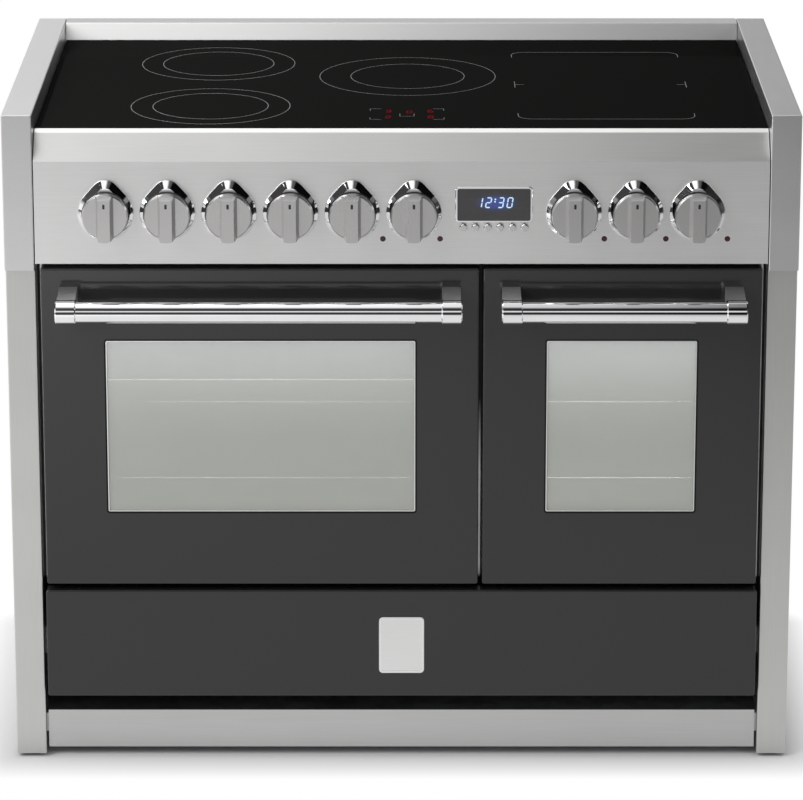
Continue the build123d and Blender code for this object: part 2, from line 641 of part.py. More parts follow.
def clock_module():
    """Clock housing behind the panel: it backs the lens and the buttons."""
    width, height = DISPLAY_SIZE
    back = SHEET + BUTTON_STEM + 2 * BUTTON_TRAVEL
    low = BUTTON_Z - BUTTON_RADIUS - SHEET
    x = (DISPLAY_X - width / 2, DISPLAY_X + width / 2)
    housing = block(x, (SHEET, back + CLOCK_DEPTH), (low, DISPLAY_Z + height / 2))
    opening_width, opening_height = display_opening()
    lens_back = LENS_THICK + LENS_RECESS - DISPLAY_PROUD
    tower = block(
        (DISPLAY_X - opening_width / 2 + FIT, DISPLAY_X + opening_width / 2 - FIT),
        (lens_back, SHEET),
        (DISPLAY_Z - opening_height / 2 + 2 * FIT, DISPLAY_Z + opening_height / 2 - 2 * FIT),
    )
    tower = fillet(tower.edges().filter_by(Axis.Y), DISPLAY_ROUND - DISPLAY_BORDER)
    pocket_x = (x[0] + SHEET, x[1] - SHEET)
    pocket = block(pocket_x, (SHEET, back), (low, BUTTON_Z + BUTTON_RADIUS + SHEET))
    return housing - pocket + tower


def button():
    """One push button, lying on its back: a bevelled cap with a collar that stops it behind the panel."""
    cap = Cylinder(BUTTON_RADIUS, BUTTON_PROUD + BUTTON_STEM, align=(Align.CENTER, Align.CENTER, Align.MIN))
    cap = Pos(0, 0, -BUTTON_STEM) * cap
    cap = chamfer(cap.faces().sort_by(Axis.Z)[-1].edges(), BUTTON_RADIUS / 4)
    stop = Cylinder(BUTTON_RADIUS + SEAM, SHEET, align=(Align.CENTER, Align.CENTER, Align.MAX))
    return cap + Pos(0, 0, -SHEET - FIT) * stop


def indicator_lamps():
    """Small bevelled pilot lamps pressed through the panel."""
    lamp = Cylinder(LAMP_RADIUS, LAMP_PROUD + LAMP_BODY, align=(Align.CENTER, Align.CENTER, Align.MIN))
    lamp = Pos(0, 0, -LAMP_BODY) * lamp
    lamp = chamfer(lamp.faces().sort_by(Axis.Z)[-1].edges(), LAMP_PROUD)
    collar = Cylinder(LAMP_RADIUS + SEAM, SHEET, align=(Align.CENTER, Align.CENTER, Align.MAX))
    lamp += Pos(0, 0, -SHEET) * collar
    return [facing(x, LAMP_Z) * lamp for x in lamp_xs()]


def oven_limits(middle, width):
    """Limits of an oven's clear inside, across and in height."""
    return (middle - width / 2, middle + width / 2), (CAVITY_BOTTOM, CAVITY_TOP)


def oven_cavity(middle, width, back_bore=None):
    """Enamelled oven liner: a rounded box, open in front, with a flange against the face frame."""
    x, z = oven_limits(middle, width)
    wide_x = (x[0] - SHEET, x[1] + SHEET)
    wide_z = (z[0] - SHEET, z[1] + SHEET)
    shell = rounded_plate(wide_x, wide_z, (FRAME_BACK, CAVITY_BACK), CAVITY_ROUND + SHEET)
    flange_x = (x[0] - CAVITY_FLANGE, x[1] + CAVITY_FLANGE)
    flange_z = (z[0] - CAVITY_FLANGE, z[1] + CAVITY_FLANGE)
    shell += rounded_plate(flange_x, flange_z, (FRAME_BACK, FRAME_BACK + SHEET), CAVITY_ROUND)
    shell -= rounded_plate(x, z, (FRAME_BACK, CAVITY_BACK - SHEET), CAVITY_ROUND)
    if back_bore:
        shell -= facing(middle, CAVITY_MIDDLE, CAVITY_BACK) * Cylinder(back_bore, 4 * SHEET)
    return shell


def oven_face_frame():
    """Sheet frame that carries both ovens, with a mouth for each."""
    frame = block((-INNER_X, INNER_X), (FRAME_FRONT, FRAME_BACK), (FRAME_BOTTOM, PANEL_BOTTOM))
    for middle, width in ovens():
        x, z = oven_limits(middle, width)
        frame -= rounded_plate(x, z, (FRAME_FRONT, FRAME_BACK), CAVITY_ROUND)
    return frame


def ovens():
    """The middle and the clear width of the left and the right oven."""
    return [(LEFT_OVEN_X, LEFT_CAVITY_WIDTH), (RIGHT_OVEN_X, RIGHT_CAVITY_WIDTH)]


def door_seals():
    """Rubber gaskets on the face frame, one round each oven mouth."""
    seals = []
    for middle, width in ovens():
        x, z = oven_limits(middle, width)
        reach = SEAL_MARGIN + SEAL_WIDTH
        outer_x = (x[0] - reach, x[1] + reach)
        outer_z = (z[0] - reach, z[1] + reach)
        inner_x = (x[0] - SEAL_MARGIN, x[1] + SEAL_MARGIN)
        inner_z = (z[0] - SEAL_MARGIN, z[1] + SEAL_MARGIN)
        y = (DOOR_DEPTH + FIT, FRAME_FRONT)
        ring = rounded_plate(outer_x, outer_z, y, CAVITY_ROUND + reach)
        seals.append(ring - rounded_plate(inner_x, inner_z, y, CAVITY_ROUND + SEAL_MARGIN))
    return seals


def guide_heights():
    """Heights of the shelf levels in the ovens, from the lowest up."""
    first = CAVITY_MIDDLE - GUIDE_PITCH * (GUIDE_LEVELS - 1) / 2
    return [first + level * GUIDE_PITCH for level in range(GUIDE_LEVELS)]


def rack_guides():
    """Wire ladders on the side walls of both ovens, which carry the shelves."""
    front = FRAME_BACK + (CAVITY_DEPTH - BAFFLE_GAP - GUIDE_LENGTH) / 2
    back = front + GUIDE_LENGTH
    heights = guide_heights()
    upright = GUIDE_LENGTH / 6
    guides = []
    for middle, width in ovens():
        for side in (-1, 1):
            wall_x = middle + side * (width / 2 - GUIDE_WIRE)
            rail_x = middle + side * (width / 2 - GUIDE_RAIL_INSET)
            ladder = [rod((rail_x, front, z), (rail_x, back, z), GUIDE_WIRE) for z in heights]
            for y in (front + upright, back - upright):
                foot = (wall_x, y, heights[0] - GUIDE_PITCH / 2)
                head = (wall_x, y, heights[-1] + GUIDE_PITCH / 2)
                ladder.append(rod(foot, head, GUIDE_WIRE))
            guides.append(ladder[0].fuse(*ladder[1:]))
    return guides


def wire_shelf(middle, width, height, rods):
    """Wire shelf: a rounded frame with rods from front to back, lying on a pair of guides."""
    z = height + SHELF_RISE
    half = width / 2 - SHELF_INSET
    front = FRAME_BACK + (CAVITY_DEPTH - BAFFLE_GAP - SHELF_DEPTH) / 2
    back = front + SHELF_DEPTH
    corners = [(middle - half, front, z), (middle + half, front, z), (middle + half, back, z), (middle - half, back, z)]
    frame = bent_rod(corners, SHELF_ROUND, SHELF_FRAME_WIRE, closed=True)
    pitch = 2 * half / (rods + 1)
    bars = [rod((x, front, z), (x, back, z), SHELF_ROD_WIRE) for x in rod_places(middle, rods, pitch)]
    return frame.fuse(*bars)


def rod_places(middle, count, pitch):
    """Evenly spaced places about a middle."""
    return [middle + (i - (count - 1) / 2) * pitch for i in range(count)]


def grill_element(middle, width, loops):
    """Sheathed grill element: a serpentine under the oven's roof with both ends in the back wall."""
    z = CAVITY_TOP - GRILL_DROP
    back = CAVITY_BACK - SHEET
    front = FRAME_BACK + GRILL_MARGIN
    turn = back - BAFFLE_GAP - GRILL_MARGIN
    legs = 2 * loops
    pitch = (width - 2 * GRILL_MARGIN) / (legs - 1)
    points = []
    for leg, x in enumerate(rod_places(middle, legs, pitch)):
        near = back if leg in (0, legs - 1) else turn
        run = [(x, near, z), (x, front, z)]
        points += run if leg % 2 == 0 else reversed(run)
    return bent_rod(points, pitch / 3, GRILL_WIRE)


def heating_elements():
    """Both grill elements, and the ring element round the fan behind the baffle."""
    left = grill_element(LEFT_OVEN_X, LEFT_CAVITY_WIDTH, LEFT_GRILL_LOOPS)
    right = grill_element(RIGHT_OVEN_X, RIGHT_CAVITY_WIDTH, RIGHT_GRILL_LOOPS)
    ring = facing(LEFT_OVEN_X, CAVITY_MIDDLE, CAVITY_BACK - SHEET - RING_WIRE) * Torus(RING_RADIUS, RING_WIRE)
    return [left, right, ring]


def fan_baffle():
    """Cover plate in front of the oven fan, with a ring of slots to breathe through and folded sides."""
    x = (LEFT_OVEN_X - BAFFLE_WIDTH / 2, LEFT_OVEN_X + BAFFLE_WIDTH / 2)
    z = (CAVITY_MIDDLE - BAFFLE_HEIGHT / 2, CAVITY_MIDDLE + BAFFLE_HEIGHT / 2)
    y = (CAVITY_BACK - SHEET - BAFFLE_GAP, CAVITY_BACK - SHEET)
    plate = rounded_plate(x, z, y, CAVITY_ROUND)
    inner_x = (x[0] + SHEET, x[1] - SHEET)
    inner_z = (z[0] + SHEET, z[1] - SHEET)
    plate -= rounded_plate(inner_x, inner_z, (y[0] + SHEET, y[1]), CAVITY_ROUND - SHEET)
    slot = extrude(SlotOverall(BAFFLE_GRILLE_RADIUS * 0.6, SHEET * 3), 2 * SHEET, both=True)
    for i in range(FAN_BLADES):
        turn = Rot(0, 0, 360 * i / FAN_BLADES) * Pos(BAFFLE_GRILLE_RADIUS * 0.65, 0, 0)
        plate -= facing(LEFT_OVEN_X, CAVITY_MIDDLE, y[0]) * turn * slot
    return plate


def oven_fan():
    """Fan wheel: a back disc with radial blades, and the shaft that runs back into the motor."""
    align = (Align.CENTER, Align.CENTER, Align.MIN)
    wheel = Cylinder(FAN_RADIUS, SHEET, align=align)
    wheel += Cylinder(3 * FAN_SHAFT_RADIUS, FAN_DEPTH, align=align)
    blade_root = 4 * FAN_SHAFT_RADIUS
    blade = Pos(blade_root, 0, 0) * Box(
        FAN_RADIUS - blade_root, SHEET, FAN_DEPTH, align=(Align.MIN, Align.CENTER, Align.MIN)
    )
    blades = [Rot(0, 0, 360 * i / FAN_BLADES) * blade for i in range(FAN_BLADES)]
    wheel = wheel.fuse(*blades)
    shaft_length = CAVITY_BACK + MOTOR_DEPTH / 2 - FAN_FRONT - FAN_DEPTH
    shaft = Cylinder(FAN_SHAFT_RADIUS, shaft_length, align=(Align.CENTER, Align.CENTER, Align.MAX))
    return facing(LEFT_OVEN_X, CAVITY_MIDDLE, FAN_FRONT + FAN_DEPTH) * (wheel + shaft)


def fan_motor():
    """Fan motor on the back of the left oven, bored for the fan's shaft."""
    align = (Align.CENTER, Align.CENTER, Align.MAX)
    motor = Cylinder(MOTOR_RADIUS, MOTOR_DEPTH, align=align)
    motor = chamfer(motor.faces().sort_by(Axis.Z)[0].edges(), 4 * EDGE_ROUND)
    motor += Box(3 * MOTOR_RADIUS, MOTOR_RADIUS, SHEET, align=align)
    bore = Cylinder(FAN_SHAFT_RADIUS + RUNNING, 2 * (MOTOR_DEPTH / 2 + SEAM))
    return facing(LEFT_OVEN_X, CAVITY_MIDDLE, CAVITY_BACK) * (motor - bore)


def hinge_xs(door):
    """Where a door's two hinges stand."""
    return (door[0] + HINGE_INSET, door[1] - HINGE_INSET)


def hinge_brackets():
    """Hinge arms on the face frame, each with the pin that its door turns on."""
    half = HINGE_ARM_THICK / 2
    low = HINGE_Z - HINGE_ARM_HEIGHT / 2
    brackets = []
    for x in (*hinge_xs(LEFT_DOOR), *hinge_xs(RIGHT_DOOR)):
        arm = block((x - half, x + half), (HINGE_DEPTH, FRAME_FRONT), (low, low + HINGE_ARM_HEIGHT))
        arm += Pos(x, HINGE_DEPTH, HINGE_Z) * Rot(0, 90, 0) * Cylinder(HINGE_ARM_HEIGHT / 2, HINGE_ARM_THICK)
        foot_x = (x - HINGE_FOOT / 2, x + HINGE_FOOT / 2)
        arm += block(foot_x, (FRAME_FRONT - SHEET, FRAME_FRONT), (low, low + HINGE_ARM_HEIGHT))
        arm += Pos(x, HINGE_DEPTH, HINGE_Z) * Rot(0, 90, 0) * Cylinder(HINGE_PIN_RADIUS, HINGE_PIN_LENGTH)
        brackets.append(arm)
    return brackets


def hinge_notches(door):
    """Room for the hinge arms, from the back of a door to its pins and out of its lower edge."""
    half = HINGE_ARM_THICK / 2 + HINGE_CLEAR
    reach = HINGE_ARM_HEIGHT / 2 + HINGE_CLEAR / 2
    front = HINGE_DEPTH - reach
    top = HINGE_Z + reach
    foot = HINGE_FOOT / 2 + HINGE_CLEAR
    notches = []
    for x in hinge_xs(door):
        notch = block((x - half, x + half), (front, FRAME_BACK), (DOOR_BOTTOM - SHEET, top))
        notches.append(notch)
        clear_y = (DOOR_DEPTH - 2 * SHEET, FRAME_BACK)
        notches.append(block((x - foot, x + foot), clear_y, (DOOR_BOTTOM - SHEET, top)))
    return notches


def door_panel(door, window_width):
    """Painted outer skin of a door, folded back at all four edges, with its window cut out."""
    z = (DOOR_BOTTOM, DOOR_TOP)
    skin = rounded_plate(door, z, (0, DOOR_PANEL_DEPTH), DOOR_ROUND)
    front = skin.faces().sort_by(Axis.Y)[0]
    skin = fillet(front.edges(), DOOR_FOLD_ROUND)
    inner_x = (door[0] + SHEET, door[1] - SHEET)
    inner_z = (z[0] + SHEET, z[1] - SHEET)
    skin -= block(inner_x, (SHEET, DOOR_PANEL_DEPTH), inner_z)
    x = window_limits(door, window_width)
    skin -= rounded_plate(x, (WINDOW_BOTTOM, WINDOW_TOP), (0, SHEET), WINDOW_ROUND)
    return skin - hinge_notches(door)


def window_limits(door, window_width):
    """Limits across a door's window, which is centred on the door."""
    middle = sum(door) / 2
    return (middle - window_width / 2, middle + window_width / 2)


def door_glass(door, window_width):
    """Outer and inner panes, each held against the sheet that frames it."""
    x = window_limits(door, window_width)
    lap_x = (x[0] - PANE_LAP, x[1] + PANE_LAP)
    lap_z = (WINDOW_BOTTOM - PANE_LAP, WINDOW_TOP + PANE_LAP)
    inner_back = DOOR_DEPTH - SHEET
    outer = block(lap_x, (SHEET, SHEET + PANE_THICK), lap_z)
    inner = block(lap_x, (inner_back - PANE_THICK, inner_back), lap_z)
    return [outer, inner]


def door_liner(door, window_width):
    """Inner shell of a door, with its window, and the bored lugs that turn on the hinge pins."""
    z = (DOOR_BOTTOM, DOOR_TOP)
    shell = rounded_plate(door, z, (DOOR_PANEL_DEPTH, DOOR_DEPTH), DOOR_ROUND)
    inner_x = (door[0] + SHEET, door[1] - SHEET)
    inner_z = (z[0] + SHEET, z[1] - SHEET)
    shell -= block(inner_x, (DOOR_PANEL_DEPTH, DOOR_DEPTH - SHEET), inner_z)
    x = window_limits(door, window_width)
    shell -= rounded_plate(x, (WINDOW_BOTTOM, WINDOW_TOP), (DOOR_PANEL_DEPTH, DOOR_DEPTH), WINDOW_ROUND)
    lug_y = (HINGE_DEPTH - HINGE_LUG, DOOR_DEPTH - SHEET)
    lug_z = (HINGE_Z - HINGE_LUG, HINGE_Z + HINGE_LUG)
    lug_half = HINGE_PIN_LENGTH / 2 + FIT
    for hinge_x in hinge_xs(door):
        shell += block((hinge_x - lug_half, hinge_x + lug_half), lug_y, lug_z)
        bore = Cylinder(HINGE_PIN_RADIUS + RUNNING, 2 * HINGE_PIN_LENGTH)
        shell -= Pos(hinge_x, HINGE_DEPTH, HINGE_Z) * Rot(0, 90, 0) * bore
    return shell - hinge_notches(door)


def handle_bar(door, length):
    """Round grip tube between the two end posts."""
    half = length / 2 - FERRULE_LENGTH + FERRULE_SOCKET
    middle = Pos(sum(door) / 2, -HANDLE_REACH, HANDLE_RISE) * Rot(0, 90, 0)
    return middle * (Cylinder(HANDLE_RADIUS, 2 * half) - Cylinder(HANDLE_RADIUS - HANDLE_WALL, 4 * half))


def handle_posts(door, length):
    """End posts: a tapered block from the door to a ferrule with a socket for the grip tube."""
    end = length / 2
    align = (Align.CENTER, Align.CENTER, Align.MIN)
    ferrule = Pos(0, -HANDLE_REACH, HANDLE_RISE) * Rot(0, 90, 0) * Cylinder(FERRULE_RADIUS, FERRULE_LENGTH, align=align)
    ferrule = chamfer(ferrule.edges(), FERRULE_EDGE)
    taper = Polyline(
        (0, HANDLE_RISE - POST_HEIGHT / 2),
        (0, HANDLE_RISE + POST_HEIGHT / 2),
        (-HANDLE_REACH, HANDLE_RISE + FERRULE_RADIUS - FERRULE_EDGE),
        (-HANDLE_REACH, HANDLE_RISE - FERRULE_RADIUS + FERRULE_EDGE),
        close=True,
    )
    post = ferrule + Pos(FERRULE_EDGE, 0, 0) * extrude(Plane.YZ * make_face(taper), FERRULE_LENGTH - 2 * FERRULE_EDGE)
    socket = Pos(FERRULE_LENGTH, -HANDLE_REACH, HANDLE_RISE) * Rot(0, 90, 0)
    post -= socket * Cylinder(HANDLE_RADIUS + RUNNING, 2 * (FERRULE_SOCKET + FIT))
    left = Pos(sum(door) / 2 - end, 0, 0) * post
    right = Pos(sum(door) / 2 + end, 0, 0) * mirror(post, about=Plane.YZ)
    return [left, right]


def drawer_front():
    """Painted drawer front, folded back at all four edges."""
    x = (-DRAWER_X, DRAWER_X)
    z = (DRAWER_BOTTOM, DRAWER_TOP)
    front = rounded_plate(x, z, (0, DRAWER_FRONT_DEPTH), DOOR_ROUND)
    front = fillet(front.faces().sort_by(Axis.Y)[0].edges(), DOOR_FOLD_ROUND)
    inner_x = (x[0] + SHEET, x[1] - SHEET)
    return front - block(inner_x, (SHEET, DRAWER_FRONT_DEPTH), (z[0] + SHEET, z[1] - SHEET))


def drawer_box():
    """Sheet drawer box, open above, fixed inside the folded front."""
    half = INNER_X - RUNNER_WIDTH
    y = (SHEET, DRAWER_FRONT_DEPTH + DRAWER_BOX_DEPTH)
    box = block((-half, half), y, (DRAWER_BOX_BOTTOM, DRAWER_BOX_TOP))
    box = fillet(box.edges().filter_by(Axis.Z).sort_by(Axis.Y)[-2:], 4 * EDGE_ROUND)
    inner_y = (y[0] + SHEET, y[1] - SHEET)
    return box - block((SHEET - half, half - SHEET), inner_y, (DRAWER_BOX_BOTTOM + SHEET, DRAWER_BOX_TOP))


def drawer_runners():
    """Channel rails on the side panels, open towards the drawer."""
    y = (RUNNER_START, RUNNER_START + RUNNER_LENGTH)
    z = (RUNNER_RISE - RUNNER_HEIGHT / 2, RUNNER_RISE + RUNNER_HEIGHT / 2)
    x = (INNER_X - RUNNER_WIDTH + SLIDE_GAP, INNER_X)
    channel = block(x, y, z)
    channel -= block((x[0], x[1] - SHEET), y, (z[0] + SHEET, z[1] - SHEET))
    return mirrored_pair(channel)


def drawer_slides():
    """Slide bars on the drawer's sides, which run inside the channel rails."""
    y = (RUNNER_START, DRAWER_FRONT_DEPTH + DRAWER_BOX_DEPTH)
    half_height = RUNNER_HEIGHT / 2 - SHEET - SLIDE_GAP
    z = (RUNNER_RISE - half_height, RUNNER_RISE + half_height)
    x = (INNER_X - RUNNER_WIDTH, INNER_X - SHEET - SLIDE_GAP)
    return mirrored_pair(block(x, y, z))


def all_parts():
    """Every node's name with its solid or list of solids."""
    left_levels = guide_heights()
    parts = {
        "base_pan": base_pan(),
        "side_panels": mirrored_pair(side_panel()),
        "top_cheeks": mirrored_pair(cheek()),
        "plinth": plinth(),
        "levelling_feet": levelling_feet(),
        "rear_panel": rear_panel(),
        "terminal_box": terminal_box(),
        "hob_frame": hob_frame(),
        "hob_glass": hob_glass(),
        "induction_coils": induction_coils(),
        "coil_tray": coil_tray(),
        "power_boards": power_boards(),
        "control_panel": control_panel(),
        "knob_collars": knob_collars(),
        "switch_bodies": switch_bodies(),
        "display_bezel": display_bezel(),
        "display_window": display_window(),
        "clock_module": clock_module(),
        "indicator_lamps": indicator_lamps(),
        "left_oven_cavity": oven_cavity(LEFT_OVEN_X, LEFT_CAVITY_WIDTH, FAN_SHAFT_RADIUS + SEAM),
        "right_oven_cavity": oven_cavity(RIGHT_OVEN_X, RIGHT_CAVITY_WIDTH),
        "oven_face_frame": oven_face_frame(),
        "door_seals": door_seals(),
        "rack_guides": rack_guides(),
        "left_oven_shelves": [
            wire_shelf(LEFT_OVEN_X, LEFT_CAVITY_WIDTH, level, LEFT_SHELF_RODS)
            for level in (left_levels[0], left_levels[2])
        ],
        "right_oven_shelf": wire_shelf(RIGHT_OVEN_X, RIGHT_CAVITY_WIDTH, left_levels[0], RIGHT_SHELF_RODS),
        "heating_elements": heating_elements(),
        "fan_baffle": fan_baffle(),
        "oven_fan": oven_fan(),
        "fan_motor": fan_motor(),
        "hinge_brackets": hinge_brackets(),
        "drawer_runners": drawer_runners(),
        "drawer_front": drawer_front(),
        "drawer_box": drawer_box(),
        "drawer_slides": drawer_slides(),
    }
    doors = {
        "left": (LEFT_DOOR, LEFT_WINDOW_WIDTH, LEFT_HANDLE_LENGTH),
        "right": (RIGHT_DOOR, RIGHT_WINDOW_WIDTH, RIGHT_HANDLE_LENGTH),
    }
    for side, (door, window_width, handle_length) in doors.items():
        parts[f"{side}_door_panel"] = door_panel(door, window_width)
        parts[f"{side}_door_glass"] = door_glass(door, window_width)
        parts[f"{side}_door_liner"] = door_liner(door, window_width)
        parts[f"{side}_handle_bar"] = handle_bar(door, handle_length)
        parts[f"{side}_handle_posts"] = handle_posts(door, handle_length)
    for i, x in enumerate(KNOB_XS, start=1):
        parts[f"knob_{i}"] = [facing(x, KNOB_Z) * piece for piece in knob()]
    for i, x in enumerate(BUTTON_XS, start=1):
        parts[f"clock_button_{i}"] = facing(x, BUTTON_Z) * button()
    return parts


def main():
    os.makedirs("parts", exist_ok=True)
    to_origin = Pos(0, FRONT_SHIFT, 0)
    for name, shape in all_parts().items():
        pieces = shape if isinstance(shape, list) else [shape]
        placed = [solid for piece in pieces for solid in (to_origin * piece).solids()]
        export_step(Compound(children=placed), f"parts/{name}.step")


main()
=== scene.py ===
from math import cos, pi, radians, sin

import bmesh
import bpy
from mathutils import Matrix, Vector


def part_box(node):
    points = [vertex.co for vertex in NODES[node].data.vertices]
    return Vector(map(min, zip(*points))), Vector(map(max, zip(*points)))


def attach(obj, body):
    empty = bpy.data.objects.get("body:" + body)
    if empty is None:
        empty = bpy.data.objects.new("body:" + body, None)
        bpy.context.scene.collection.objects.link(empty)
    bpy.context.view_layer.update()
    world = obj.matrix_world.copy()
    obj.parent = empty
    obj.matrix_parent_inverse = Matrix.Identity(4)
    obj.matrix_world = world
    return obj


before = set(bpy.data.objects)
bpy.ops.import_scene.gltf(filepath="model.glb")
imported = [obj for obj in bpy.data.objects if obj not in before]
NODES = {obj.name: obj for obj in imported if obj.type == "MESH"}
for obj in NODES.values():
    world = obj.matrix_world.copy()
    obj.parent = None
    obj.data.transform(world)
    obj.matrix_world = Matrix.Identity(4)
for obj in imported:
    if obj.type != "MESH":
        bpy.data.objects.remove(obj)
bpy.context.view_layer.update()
MM = 0.001

# Places taken from the frame, in metres
FRONT_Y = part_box("control_panel")[0].y
GLASS_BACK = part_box("hob_glass")[1].y
HOB_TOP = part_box("hob_glass")[1].z
COLLAR_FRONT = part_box("knob_collars")[0].y
LENS_LOW, LENS_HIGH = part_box("display_window")
LENS_MIDDLE = (LENS_LOW.x + LENS_HIGH.x) / 2
DRAWER_LOW, DRAWER_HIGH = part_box("drawer_front")
REAR_LOW, REAR_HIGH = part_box("rear_panel")
LEFT_DOOR_LOW, LEFT_DOOR_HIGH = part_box("left_door_panel")
RIGHT_DOOR_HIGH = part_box("right_door_panel")[1]

# Hob print: across from the cooker's middle and back from its front plane
PRINT_THICK = 0.06 * MM
PRINT_LINE = 0.9 * MM
OUTER_RING = 102 * MM
INNER_RING = 74 * MM
MIDDLE_OUTER_RING = 116 * MM
MIDDLE_INNER_RING = 75 * MM
ROUND_ZONES = [
    (-245 * MM, 416 * MM, OUTER_RING, INNER_RING),
    (-245 * MM, 160 * MM, OUTER_RING, INNER_RING),
    (8 * MM, 338 * MM, MIDDLE_OUTER_RING, MIDDLE_INNER_RING),
]
BRIDGE_X = (148.5 * MM, 373 * MM)
BRIDGE_Y = (86 * MM, 488 * MM)
BRIDGE_CORNER = 18 * MM
BRIDGE_TAIL = 14 * MM
BRIDGE_TICK = 18 * MM
BRIDGE_STUB = 12 * MM

# Touch field: its middle as above, the rest from that middle
TOUCH_X, TOUCH_Y = 7 * MM, 114 * MM
TOUCH_HALF_WIDTH = 47 * MM
TOUCH_HALF_DEPTH = 30 * MM
TOUCH_CORNER_WIDTH = 14 * MM
TOUCH_CORNER_DEPTH = 10 * MM
LOCK_HALF_WIDTH = 9 * MM
LOCK_Y = (-12 * MM, 3 * MM)
LEVEL_FIGURES = [
    (-27 * MM, -22 * MM, 2),
    (-27 * MM, 10 * MM, 3),
    (27 * MM, -22 * MM, 8),
    (27 * MM, 10 * MM, 6),
    (0.0, 6 * MM, 0),
]
LEVEL_WIDTH = 6 * MM
LEVEL_HEIGHT = 12 * MM
LEVEL_STROKE = 1.4 * MM

# Clock face
CLOCK_TIME = (1, 2, 3, 0)
CLOCK_MIDDLE = LENS_MIDDLE + 0.5 * MM
DIGIT_DROP = 11.5 * MM
DIGIT_HEIGHT = 12.5 * MM
DIGIT_WIDTH = 5.9 * MM
DIGIT_PITCH = 11.2 * MM
DIGIT_STROKE = 1.6 * MM
DIGIT_SLANT = 0.16
DIGIT_THICK = 0.05 * MM
COLON_GAP = 4.4 * MM
COLON_LEVELS = (0.60, 0.84)
COLON_RADIUS = 1.1 * MM
# Middle and stretch of the lens's painted glow round the lit digits
PAINTED_GLOW_MIDDLE = (LENS_MIDDLE + 3 * MM, LENS_LOW.y, LENS_HIGH.z - 18 * MM)
PAINTED_GLOW_SHAPE = (36.0, 0.0, 85.0)

# Bars of the figures: a on top, then clockwise to f, and g in the middle
SEGMENTS = {0: "abcdef", 1: "bc", 2: "abged", 3: "abgcd", 6: "afgedc", 8: "abcdefg"}
SEGMENT_GAP = 0.12

# Dark rubber ring behind each knob's disc, a stand-in for the shade of the gap there, and the index mark on
# its grip
SHADE_RING_BACK = COLLAR_FRONT - 0.4 * MM
SHADE_RING_LIP = 0.9 * MM
SHADE_RING_WIDTH = 1.4 * MM
SHADE_RING_DEPTH = 1.4 * MM
MARK_DROP = 8.5 * MM
MARK_LENGTH = 6.0 * MM
MARK_HALF_WIDTH = 1.5 * MM
MARK_CORNER = 0.8 * MM
MARK_THICK = 0.06 * MM

# Oven windows: bright edge of the pane, and the gasket line round it, which also stands in for the shade of
# the reveal
WINDOW_LAP = 12 * MM
TRIM_INSET = 0.7 * MM
TRIM_WIDTH = 1.3 * MM
TRIM_CORNER = 1.6 * MM
TRIM_SINK = 2 * MM
TRIM_THICK = 1.2 * MM
GASKET_OUTSET = 1.0 * MM
GASKET_WIDTH = 1.9 * MM
GASKET_CORNER = 2.9 * MM
GASKET_THICK = 0.2 * MM

# Drawer plate
PLATE_HALF_WIDTH = 29 * MM
PLATE_HALF_HEIGHT = 38 * MM
PLATE_DROP = 2 * MM
PLATE_CORNER = 5 * MM
PLATE_THICK = 0.7 * MM
RIM_INSET = 2.0 * MM
RIM_CORNER = 3.5 * MM
RIM_WIDTH = 1.2 * MM
RIM_THICK = 0.5 * MM

# Screws of the back and of the door liners; a head's middle stands off its sheet by a share of its height
SCREW_RADIUS = 4.2 * MM
SCREW_HEIGHT = 1.6 * MM
SCREW_INSET = 9 * MM
SHEET_STAND_OFF = 0.4 * SCREW_HEIGHT
COVER_STAND_OFF = 0.1 * SCREW_HEIGHT
HEAD_TOP = 0.72
CROSS_LENGTH = 1.1
CROSS_WIDTH = 0.26
CROSS_LIFT = 0.95
SIDE_SCREWS = 6
TOP_SCREWS = 8
LOW_END_SPACE = 50 * MM
TOP_END_SPACE = 60 * MM
TERMINAL_COVER = 88 * MM
COVER_SCREW_X = 0.16
COVER_SCREW_Z = 0.2

# Where the finishes change, and where shade and a reflection are painted on
POST_BLAST = (FRONT_Y - 45 * MM, FRONT_Y - 43 * MM)
UPSTAND_BLAST = (GLASS_BACK - 2 * MM, GLASS_BACK)
KNOB_SHADE = (COLLAR_FRONT - 5 * MM, COLLAR_FRONT - 3.5 * MM)
# Strips of the oven frame left bare of painted shade
LEFT_STRIP = (LEFT_DOOR_LOW.x - 4.0 * MM, LEFT_DOOR_LOW.x - 1.8 * MM)
MIDDLE_STRIP = (LEFT_DOOR_HIGH.x + 1.0 * MM, LEFT_DOOR_HIGH.x + 3.3 * MM)
RIGHT_STRIP = (RIGHT_DOOR_HIGH.x + 1.8 * MM, RIGHT_DOOR_HIGH.x + 4.4 * MM)
STRIP_EDGE = 0.2 * MM
MIDDLE_STRIP_END = (390 * MM, 480 * MM)
# Height span of the windows' painted reflection
WINDOW_PAINTED_REFLECTION = (380 * MM, 575 * MM)
OUTER_PANE_BACK = FRONT_Y + 20 * MM

# Oven lamps, from the front and the roof of each oven
OVEN_LAMP_BACK = 120 * MM
OVEN_LAMP_DROP = 35 * MM
OVEN_LAMP_MARGIN = 80 * MM
OVEN_LAMP_DEPTH = 160 * MM

# Studio, in metres
FLOOR_REACH = 14.0
FOOTPRINT = (0.5, 0.25, 0.0)
SHADOW_REACH = 0.08
ROOM_RADIUS = 9.0

# Camera: the photograph's height and distance, set further back because its own lens was shifted
CAMERA_PLACE = (0.0, -5.5, 2.064)
CAMERA_PITCH = radians(15.46)
CAMERA_LENS = 192.9
CAMERA_SENSOR = 36.0
CAMERA_SHIFT = -0.12


def socket_set(tree, socket, value):
    """Links a socket to another socket, or gives it a plain value."""
    if isinstance(value, bpy.types.NodeSocket):
        tree.links.new(value, socket)
    else:
        socket.default_value = value


